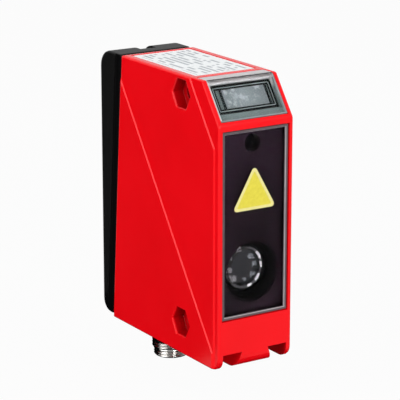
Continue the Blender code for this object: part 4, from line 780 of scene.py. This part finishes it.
def plate_with_hole(name, bottom, top, centre, radius):
    """Circle = centre + radius * direction; rim = centre + the reach to the side * direction."""
    sides = np.array([film_low.x, film_high.x, bottom - centre, top - centre])
    corners = np.arctan2(sides[[2, 2, 3, 3]], sides[[0, 1, 0, 1]])
    angle = np.sort(np.concatenate([np.linspace(-np.pi, np.pi, 96, endpoint=False), corners]))
    across, upward = np.cos(angle), np.sin(angle)
    reach = np.minimum(*(
        np.abs(np.where(part > 0, sides[top_side], sides[top_side - 1])
               / np.where(np.abs(part) < 1e-9, 1e-9, part))
        for part, top_side in ((across, 1), (upward, 3))))
    rows = [(reach, film_high.y), (reach, film_low.y), (radius, film_low.y), (radius, film_high.y)]
    points = np.stack([
        np.stack([r * across, np.full_like(across, depth), centre + r * upward], axis=1)
        for r, depth in rows])
    return surface(name, points, [MASK_INK], wrap_rows=True, wrap_columns=True)


lower_film = plate_with_hole("printed_film_lower", film_low.z, FILM_SPLIT, *LARGE_HOLE)
upper_film = plate_with_hole("printed_film_upper", FILM_SPLIT, film_high.z, *SMALL_HOLE)
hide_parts("aperture_mask")
print("film, mm:", [round(v * 1000, 1) for v in (film_high - film_low)])

# %% [markdown]
# The window frame is a narrow strip with a sloping inner side that catches the
# light; that side is also painted a paler grey than the land, a painted
# highlight. Sweeping a small profile round a rectangle makes it: each corner of
# the rectangle is a quarter circle, and the profile turns round its centre.

# %% Window frame
frame_low, frame_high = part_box("window_frame")


def rounded_sweep(low, high, radius, profile, place, steps=6):
    """Carry (inset, depth) points round a rectangle with round corners; place turns
    (across, up, depth) into a point. Point = corner centre + (radius - inset) * direction."""
    profile = np.asarray(profile, dtype=float)
    inset, depth = profile[None, :, 0], profile[None, :, 1]
    reach = np.maximum(radius - inset, 0.00002)
    quarter = np.linspace(0.0, np.pi / 2, steps)
    angle = (quarter[None, :] + np.arange(4)[:, None] * np.pi / 2).reshape(-1, 1)
    sign_x = np.repeat([1.0, -1.0, -1.0, 1.0], steps)[:, None]
    sign_y = np.repeat([1.0, 1.0, -1.0, -1.0], steps)[:, None]
    middle = (np.array(low) + np.array(high)) / 2
    half = (np.array(high) - np.array(low)) / 2
    across = middle[0] + sign_x * (half[0] - inset - reach) + reach * np.cos(angle)
    upward = middle[1] + sign_y * (half[1] - inset - reach) + reach * np.sin(angle)
    return place(np.stack([across, upward, np.broadcast_to(depth, across.shape)], axis=2))


def upright(points):
    """(across, up, depth) as a point of the front face."""
    return np.stack([points[..., 0], points[..., 2], points[..., 1]], axis=-1)


def window_strip():
    """Flat dark land outside, then a lip that slopes down to the pane, painted pale as a highlight."""
    front, back = frame_low.y, frame_high.y
    profile = [(0.0, back), (0.0, front + 0.0001), (0.0001, front), (0.00070, front),
               (0.00076, front + 0.00006), (0.00092, front + 0.00034), (0.00098, back)]
    low, high = (frame_low.x, frame_low.z), (frame_high.x, frame_high.z)
    points = rounded_sweep(low, high, 0.0003, profile, upright, 4)
    # Painted highlight: the sloping lip gets the pale grey.
    slots = np.array([0, 0, 0, 1, 1, 0, 0])[None, :]
    return surface(
        "window_strip", points, [FRAME_GREY, FRAME_LIP_HIGHLIGHT], wrap_rows=True, wrap_columns=True,
        slots=slots, sharp=25.0)


strip = window_strip()
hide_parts("window_frame")
print("window, mm:", [round(v * 1000, 1) for v in (frame_high - frame_low)])

# %% [markdown]
# The display sits in a double black frame with a grey channel between. On the
# slope a point is given by how far across it is, how far down the slope, and
# how deep below it, so the same sweep serves once its place function turns
# these three into a point in space.

# %% Display frame
bezel_low, bezel_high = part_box("display_bezel")
cover_low, cover_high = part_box("display_cover")
top_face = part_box("housing")[1].z
front_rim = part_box("housing")[0].y
RUN = SLANT_SETBACK / math.hypot(SLANT_SETBACK, SLANT_DROP)
RISE = SLANT_DROP / math.hypot(SLANT_SETBACK, SLANT_DROP)


def on_slope(points):
    """(across, down, sink): down the slope from the top edge, and sunk below it."""
    down, sink = points[..., 1], points[..., 2]
    depth = front_rim + SLANT_SETBACK - RUN * down + RISE * sink
    height = top_face - RISE * down - RUN * sink
    return np.stack([points[..., 0], depth, height], axis=-1)


BEZEL_HALF = (bezel_high.x - bezel_low.x) / 2
BEZEL_TOP, BEZEL_BOTTOM, BEZEL_SINK = 0.0016, 0.0112, 0.0016


def bezel_sweep(inset, corner, profile):
    """Carry a profile round the bezel's outline, drawn in by an inset."""
    low = (-BEZEL_HALF + inset, BEZEL_TOP + inset)
    high = (BEZEL_HALF - inset, BEZEL_BOTTOM - inset)
    return rounded_sweep(low, high, corner, profile, on_slope)


def frame_ring(name, start, width, lower, finish, corner):
    """A raised strip inside the bezel's outline, with its top a little lower than the bezel's."""
    edge, sink, foot = min(0.00010, width / 4), BEZEL_SINK + lower, BEZEL_SINK + 0.0008
    points = bezel_sweep(start, corner, [
        (0.0, foot), (0.0, sink + edge), (edge, sink), (width - edge, sink), (width, sink + edge),
        (width, foot)])
    return surface(name, points, [finish], wrap_rows=True, wrap_columns=True, sharp=40.0)


def cell_slab(name, start, corner, sink, back):
    """The display cell: a slab with round corners inside the frame."""
    points = bezel_sweep(start, corner, [(0.0, back), (0.0, sink + 0.0001), (0.0001, sink)])
    rings = np.swapaxes(points, 0, 1)
    return surface(name, rings, [DISPLAY_GREY], wrap_columns=True, caps=(0, 2), sharp=40.0)


foot_ring, outer_ring, channel, inner_ring = (frame_ring(*row) for row in (
    ("display_frame_foot", -0.00026, 0.0012, 0.00045, BEZEL_BLACK, 0.00008),
    ("display_frame_outer", 0.0, 0.00062, 0.0, BEZEL_BLACK, 0.0009),
    ("display_frame_channel", 0.00065, 0.00034, 0.00022, GROOVE_GREY, 0.0005),
    ("display_frame_inner", 0.00102, 0.00042, 0.00004, BEZEL_BLACK, 0.0003),
))
cell = cell_slab("display_field", 0.00147, 0.0003, BEZEL_SINK + 0.00030, 0.0043)
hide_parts("display_bezel")
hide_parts("display_panel")
print("display frame, mm:", round(2000 * BEZEL_HALF, 1), round(1000 * (BEZEL_BOTTOM - BEZEL_TOP), 1))

# %% [markdown]
# The clear cover over the display is one sheet, folded over the top edge. Its
# side view is a closed loop with a soft fold: each fold is a curve through
# three points, (1 - t)^2 a + 2 t (1 - t) b + t^2 c. The loop is carried across
# the sensor, drawn in a little at both ends, which makes the bevelled edges.
# The left border and the fold get the frosted finish, partly a painted
# highlight where they catch the light; the foot and the right border get a
# plain grey one.

# %% Clear folded cover
def soft_corner(before, corner, after, steps=7):
    """Points of the curve that starts at one point, bends at the corner and ends at another."""
    t = np.linspace(0.0, 1.0, steps)[:, None]
    return (1 - t) ** 2 * before + 2 * t * (1 - t) * corner + t ** 2 * after


def draw_in(loop, distance):
    """Move a closed loop inward: along the sum of both edge normals over one plus their product."""
    edge = np.roll(loop, -1, axis=0) - loop
    edge /= np.linalg.norm(edge, axis=1, keepdims=True)
    normal = np.stack([-edge[:, 1], edge[:, 0]], axis=1)
    before = np.roll(normal, 1, axis=0)
    share = 1 + (normal * before).sum(axis=1, keepdims=True)
    area = (loop[:, 0] * np.roll(loop[:, 1], -1) - np.roll(loop[:, 0], -1) * loop[:, 1]).sum()
    return loop + math.copysign(distance, area) * (normal + before) / share


def side_point(down, sink):
    """(depth, height) of a point down the slope and sunk below it."""
    return on_slope(np.array([0.0, down, sink]))[1:]


COVER_FACE, COVER_BACK, COVER_LENGTH = 0.0001, 0.0013, 0.0144
OUTER_BEND, INNER_BEND, FOOT_BORDER = 0.0009, 0.0005, 0.0004
COVER_SPREAD, COVER_BEVEL, SIDE_BORDER = 0.00020, 0.00018, 0.00046


def clear_cover():
    """Loop of the folded sheet carried across; left and top are frosted, partly a painted highlight, foot
    and right are grey.
    """
    turn = (1 - RUN) / RISE
    loops = []
    for sink, bend in ((COVER_FACE, OUTER_BEND), (COVER_BACK, INNER_BEND)):
        fold = side_point(sink * turn, sink)
        on_face = side_point(sink * turn + bend, sink)
        on_top = fold + np.array([bend, 0.0])
        curve = soft_corner(on_face, fold, on_top)
        foot = side_point(COVER_LENGTH, sink)
        end = np.array([cover_high.y, top_face - sink])
        loops.append(np.vstack([foot[None], curve, end[None]]))
    border = side_point(COVER_LENGTH - FOOT_BORDER, COVER_FACE)
    loop = np.vstack([loops[0][:1], border[None], loops[0][1:], loops[1][::-1]])
    half = (cover_high.x - cover_low.x) / 2 + COVER_SPREAD
    rows = [(-half, COVER_BEVEL), (-half + COVER_BEVEL, 0.0), (-half + SIDE_BORDER, 0.0),
            (half - SIDE_BORDER, 0.0), (half - COVER_BEVEL, 0.0), (half, COVER_BEVEL)]
    points = np.stack([
        np.concatenate([np.full((len(loop), 1), x), draw_in(loop, inward)], axis=1)
        for x, inward in rows])
    count = len(loop)
    slots = np.zeros((5, count), dtype=int)
    # Painted highlight: the pale frosted finish on the left border and the fold.
    slots[:2] = 1
    slots[3:] = 3
    slots[:, [0, count - 1]] = 3
    slots[:, 8:17] = 1
    slots[1:4, 5] = 2
    return surface(
        "clear_cover", points, [COVER_CLEAR, FROSTED_HIGHLIGHT, BEZEL_BLACK, GROOVE_GREY], wrap_columns=True,
        caps=(0, 5), slots=slots, sharp=30.0, cap_slot=1)


pane_cover = clear_cover()
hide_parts("display_cover")
print("cover, mm:", [round(v * 1000, 1) for v in (cover_high - cover_low)])

# %% [markdown]
# The triangle on the window is a plain yellow film with round corners and a
# slightly raised, paler edge. Its outline is a triangle grown by a disc. Each
# ring of the grid is that outline drawn further in, and the height changes
# from ring to ring.

# %% Yellow triangle
sticker_low, sticker_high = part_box("triangle_sticker")
STICKER_CORNER, STICKER_DIP = 0.0010, 0.00005


def triangle_ring(inset, steps):
    """Outline of the rounded triangle drawn in by an inset: corner centre + radius * direction."""
    radius = STICKER_CORNER
    low, high = sticker_low.z + radius, sticker_high.z - radius
    half = (sticker_high.x - sticker_low.x) / 2 - radius
    corners = np.array([(-half, low), (half, low), (0.0, high)])
    sides = np.linalg.norm(np.roll(corners, -1, axis=0) - corners, axis=1)
    area = half * (high - low)
    inner = 2 * area / sides.sum()
    weights = np.array([sides[1], sides[2], sides[0]])
    middle = (corners * weights[:, None]).sum(axis=0) / weights.sum()
    over = max(0.0, inset - radius * 0.7)
    corners = middle + (corners - middle) * (1 - over / inner)
    reach = radius - min(inset, radius * 0.7)
    slope = math.atan2(high - low, half)
    spans = [(math.pi / 2 + slope, 1.5 * math.pi), (1.5 * math.pi, 2.5 * math.pi - slope),
             (math.pi / 2 - slope, math.pi / 2 + slope)]
    parts = []
    for corner, (start, stop) in zip(corners, spans):
        angle = np.linspace(start, stop, steps)
        parts.append(corner + reach * np.stack([np.cos(angle), np.sin(angle)], axis=1))
    return np.vstack(parts)


def yellow_triangle():
    """Rings from the back edge over the raised rim to the flat field."""
    back, front = sticker_high.y, sticker_low.y
    rings = [(0.0, back), (0.0, front + 0.00003), (0.00004, front), (0.00088, front),
             (0.00094, front + STICKER_DIP), (0.00100, front + STICKER_DIP),
             (0.0030, front + STICKER_DIP)]
    points = np.stack([
        np.stack([ring[:, 0], np.full(len(ring), depth), ring[:, 1]], axis=1)
        for ring, depth in ((triangle_ring(inset, 7), depth) for inset, depth in rings)])
    slots = np.array([1, 1, 1, 1, 0, 0])[:, None]
    return surface(
        "yellow_triangle", points, [YELLOW, YELLOW_EDGE], wrap_columns=True, caps=(0, len(rings) - 1),
        slots=slots, sharp=30.0)


triangle = yellow_triangle()
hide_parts("triangle_sticker")
print("triangle, mm:", [round(v * 1000, 1) for v in (sticker_high - sticker_low)])

# %% [markdown]
# The four screws in the rear cover have round heads with hexagon sockets. One
# grid makes a whole screw: rings of constant radius outside, and inside the
# head rings whose radius follows a hexagon, flat distance over the cosine of
# the angle from the nearest flat.

# %% Cover screws
def hexagon(angle, flat):
    """Radius of a hexagon at each angle, for a distance from centre to flat."""
    return flat / np.cos(np.mod(angle, np.pi / 3) - np.pi / 6)


SHANK, SOCKET_FLAT, HEAD_HEIGHT, SCREW_STEPS = 0.00125, 0.0010, 0.0016, 48


def cover_screw(name):
    """Head, socket and shank of one screw, driven in from the back."""
    low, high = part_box(name)
    centre_x, centre_z = (low.x + high.x) / 2, (low.z + high.z) / 2
    head, back, tip = (high.x - low.x) / 2, high.y, low.y
    seat = back - HEAD_HEIGHT
    angle = np.linspace(0.0, 2 * np.pi, SCREW_STEPS, endpoint=False)[:, None]
    outside = np.array([
        (0.0, tip), (SHANK - 0.0004, tip), (SHANK, tip + 0.0004), (SHANK, seat),
        (head - 0.0001, seat), (head, seat + 0.0001), (head, back - 0.0004), (head - 0.0001, back - 0.0002),
        (head - 0.0003, back - 0.00005), (head - 0.0005, back)])
    radius, depth = (np.tile(outside[:, axis], (SCREW_STEPS, 1)) for axis in (0, 1))
    socket = [
        (SOCKET_FLAT + 0.00012, back), (SOCKET_FLAT, back - 0.0001), (SOCKET_FLAT, back - 0.0009)]
    bottom = np.zeros((SCREW_STEPS, 1))
    socket_radius = np.concatenate([hexagon(angle, flat) for flat, _ in socket] + [bottom], axis=1)
    socket_depth = np.tile([d for _, d in socket] + [back - 0.0011], (SCREW_STEPS, 1))
    radius = np.concatenate([radius, socket_radius], axis=1)
    depth = np.concatenate([depth, socket_depth], axis=1)
    points = np.stack([
        centre_x + radius * np.cos(angle), depth, centre_z + radius * np.sin(angle)], axis=2)
    screw = surface("detailed_" + name, points, [STEEL], wrap_rows=True, sharp=38.0)
    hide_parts(name)
    return screw


screws = [cover_screw(name) for name in sorted(node) if name.startswith("cover_screw")]
print("screws:", len(screws))

# %% [markdown]
# A rubber seal fills the joint between the housing and the rear cover, so that
# no light passes there. It is a bead with round edges, swept round a rectangle.
# The joint leans, so a point's depth is the middle of the joint at its height:
# depth at the foot of the seal - lean * height above that foot.

# %% Seal in the leaning joint
seal_low, seal_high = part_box("cover_gasket")
SEAL_HALF = 0.0003
SEAL_LEAN = (seal_high.y - seal_low.y - 2 * SEAL_HALF) / (seal_high.z - seal_low.z)


def in_joint(points):
    """(across, up, offset) as a point in the leaning joint."""
    depth = seal_high.y - SEAL_HALF - SEAL_LEAN * (points[..., 1] - seal_low.z) + points[..., 2]
    return np.stack([points[..., 0], depth, points[..., 1]], axis=-1)


def joint_seal():
    """A bead that almost touches both sides, round the whole joint down to the foot of the cover."""
    reach, width = 0.00056, 0.0009
    profile = [(width, -reach), (0.0002, -reach), (0.00005, -reach / 2), (0.0, 0.0),
               (0.00005, reach / 2), (0.0002, reach), (width, reach)]
    low = (seal_low.x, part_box("rear_cover")[0].z + 0.0005)
    points = rounded_sweep(low, (seal_high.x, seal_high.z), 0.0010, profile, in_joint)
    return surface("joint_seal", points, [SEAL_BLACK], wrap_rows=True, wrap_columns=True)


seal = joint_seal()
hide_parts("cover_gasket")
print("seal lean, degrees:", round(math.degrees(math.atan(SEAL_LEAN)), 2))

# %% [markdown]
# The studio: a pale floor that sweeps up behind, and a world that is a dim grey
# for lighting and almost white where the camera, a reflection or a clear part
# looks at it. Four dark flags stand beside and under the sensor. The camera
# doesn't see them and they cast no shadow: they are there for reflections
# alone, and give the plug and the glossy sides something dark to mirror.

# %% Floor, flags and world
FLOOR_DROP, FLAG_DROP = 0.0005, 0.0004
WALL_DEPTH, BEND_RADIUS, FLOOR_FRONT, FLOOR_HALF, WALL_TOP = 1.2, 0.5, -2.0, 2.5, 2.2
FLOOR_GLOW, WORLD_DIM, WORLD_SEEN = 0.96, 0.28, 0.975
WHITE = (1.0, 1.0, 1.0, 1.0)
FLAG_STEPS = 40


def looked_at(tree):
    """One where the camera, a reflection or a clear part looks, and nought for plain lighting."""
    rays = add_node(tree, "ShaderNodeLightPath").outputs
    seen = arithmetic(tree, "MAXIMUM", rays["Is Camera Ray"], rays["Is Glossy Ray"])
    return arithmetic(tree, "MAXIMUM", seen, rays["Is Transmission Ray"])


def stage_sheet(name, points, finish):
    """A grid of points as one sheet of the studio."""
    mesh = bpy.data.meshes.new(name)
    quads = face_grid(*points.shape[:2], False, False)
    mesh.from_pydata(points.reshape(-1, 3).tolist(), [], quads.tolist())
    mesh.materials.append(finish)
    sheet = bpy.data.objects.new(name, mesh)
    bpy.context.scene.collection.objects.link(sheet)
    return sheet


def studio_floor():
    """A floor that curves up into a wall: the curve is a quarter circle."""
    turn = np.linspace(0.0, np.pi / 2, 24)
    lift = shell_low.z - FLOOR_DROP
    bend = np.stack([
        WALL_DEPTH + BEND_RADIUS * np.sin(turn), lift + BEND_RADIUS * (1 - np.cos(turn))], axis=1)
    line = np.vstack([
        [(FLOOR_FRONT, lift), (WALL_DEPTH, lift)], bend, [(WALL_DEPTH + BEND_RADIUS, WALL_TOP)]])
    across = np.broadcast_to(np.array([-FLOOR_HALF, FLOOR_HALF])[:, None], (2, len(line)))
    points = np.stack([across, *np.broadcast_to(line.T[:, None, :], (2, 2, len(line)))], axis=2)
    made, tree, shader = finish_named(
        "floor_paper", (0.30, 0.30, 0.30), 0.9, Specular_IOR_Level=0.0)
    glow = add_node(tree, "ShaderNodeEmission", {"Color": WHITE, "Strength": 1.0})
    mixed = add_node(tree, "ShaderNodeMixShader", {
        0: arithmetic(tree, "MULTIPLY", looked_at(tree), FLOOR_GLOW),
        1: shader.outputs["BSDF"], 2: glow.outputs["Emission"]})
    tree.links.new(mixed.outputs["Shader"], tree.nodes["Material Output"].inputs["Surface"])
    stage_sheet("studio_floor", points, made).data.shade_smooth()


def dark_flag(name, centre, start, stop, near, far, wall):
    """A flag that only reflections see: a sector of the floor from near to far, then a wall."""
    turn = np.radians(np.linspace(start, stop, FLAG_STEPS))
    lift = shell_low.z - FLAG_DROP
    far = far(turn) if callable(far) else np.full(FLAG_STEPS, far)
    wall = wall(turn) if callable(wall) else np.full(FLAG_STEPS, wall)
    reach = np.stack([np.full(FLAG_STEPS, near), far, far])
    height = np.stack([np.full(FLAG_STEPS, lift), np.full(FLAG_STEPS, lift), lift + wall])
    points = np.stack([
        centre[0] + reach * np.sin(turn), centre[1] - reach * np.cos(turn), height], axis=2)
    made = finish_named(name, (0.002, 0.002, 0.002), 1.0, Specular_IOR_Level=0.0)[0]
    flag = stage_sheet(name, points, made)
    for kind in ("camera", "diffuse", "transmission", "shadow"):
        setattr(flag, "visible_" + kind, False)


studio_floor()
dark_flag("left_flag", (0.0, 0.0), 194.0, 244.0, 0.02, 0.75, 0.50)
dark_flag("right_flag", (0.0, 0.0), 116.0, 166.0, 0.02, 0.75, 0.02)
dark_flag(
    "under_flag", (plug_x, plug_y), -56.0, 244.0, 0.0072,
    lambda turn: 0.045 + 0.021 * np.cos(turn),
    lambda turn: np.where(np.cos(turn) > 0.3, 0.0001, 0.018))
dark_flag("plug_flag", (plug_x, plug_y), 0.0, 360.0, 0.001, 0.013, 0.0001)
world = bpy.data.worlds.new("studio_world")
world.use_nodes = True
background = world.node_tree.nodes["Background"]
background.inputs["Color"].default_value = WHITE
strength = span(world.node_tree, looked_at(world.node_tree), WORLD_DIM, WORLD_SEEN)
world.node_tree.links.new(strength, background.inputs["Strength"])
bpy.context.scene.world = world
print("floor height, mm:", round((shell_low.z - FLOOR_DROP) * 1000, 1))

# %% [markdown]
# Four soft lamps light the sensor: a key in front on the right, a larger one in
# front on the left, a broad fill at the left and a weak one above and behind.
# Two small lamps below the lens are linked to the lens and the pane in front
# of it alone. They put the bright spots on the rim of the lens.

# %% Lamps
LAMP_AIM = Vector((0.0, 0.0, 0.045))


def soft_lamp(name, place, size, power):
    """A square lamp that looks at the middle of the sensor."""
    data = bpy.data.lights.new(name, "AREA")
    data.size = size
    data.energy = power
    lamp = bpy.data.objects.new(name, data)
    lamp.location = place
    lamp.rotation_euler = (LAMP_AIM - Vector(place)).to_track_quat("-Z", "Y").to_euler()
    bpy.context.scene.collection.objects.link(lamp)
    return lamp


lamps = [soft_lamp(*row) for row in (
    ("key_lamp", (0.28, -0.86, 0.48), 0.22, 3.4),
    ("front_lamp", (-0.22, -0.95, 0.30), 0.36, 6.2),
    ("fill_lamp", (-0.85, -0.08, 0.46), 0.72, 7.3),
    ("top_lamp", (0.10, 0.30, 0.80), 0.40, 1.9),
)]
behind_pane = bpy.data.collections.new("behind_pane")
behind_pane.objects.link(lens)
behind_pane.objects.link(node["front_window"])


def glint(name, toward, distance, size, power):
    """A small lamp below the lens that lights the lens alone, through the pane in front of it."""
    eye = Vector((0.0, lens_low.y, eye_z))
    lamp = soft_lamp(name, eye + Vector(toward) * distance, size, power)
    lamp.rotation_euler = (-Vector(toward)).to_track_quat("-Z", "Y").to_euler()
    lamp.visible_camera = False
    lamp.light_linking.receiver_collection = behind_pane
    return lamp


lamps += [
    glint("low_glint", (-0.273, -0.896, -0.347), 0.10, 0.034, 0.22),
    glint("lower_glint", (-0.051, -0.718, -0.693), 0.055, 0.020, 0.085),
]
print("lamps:", [lamp.name for lamp in lamps])
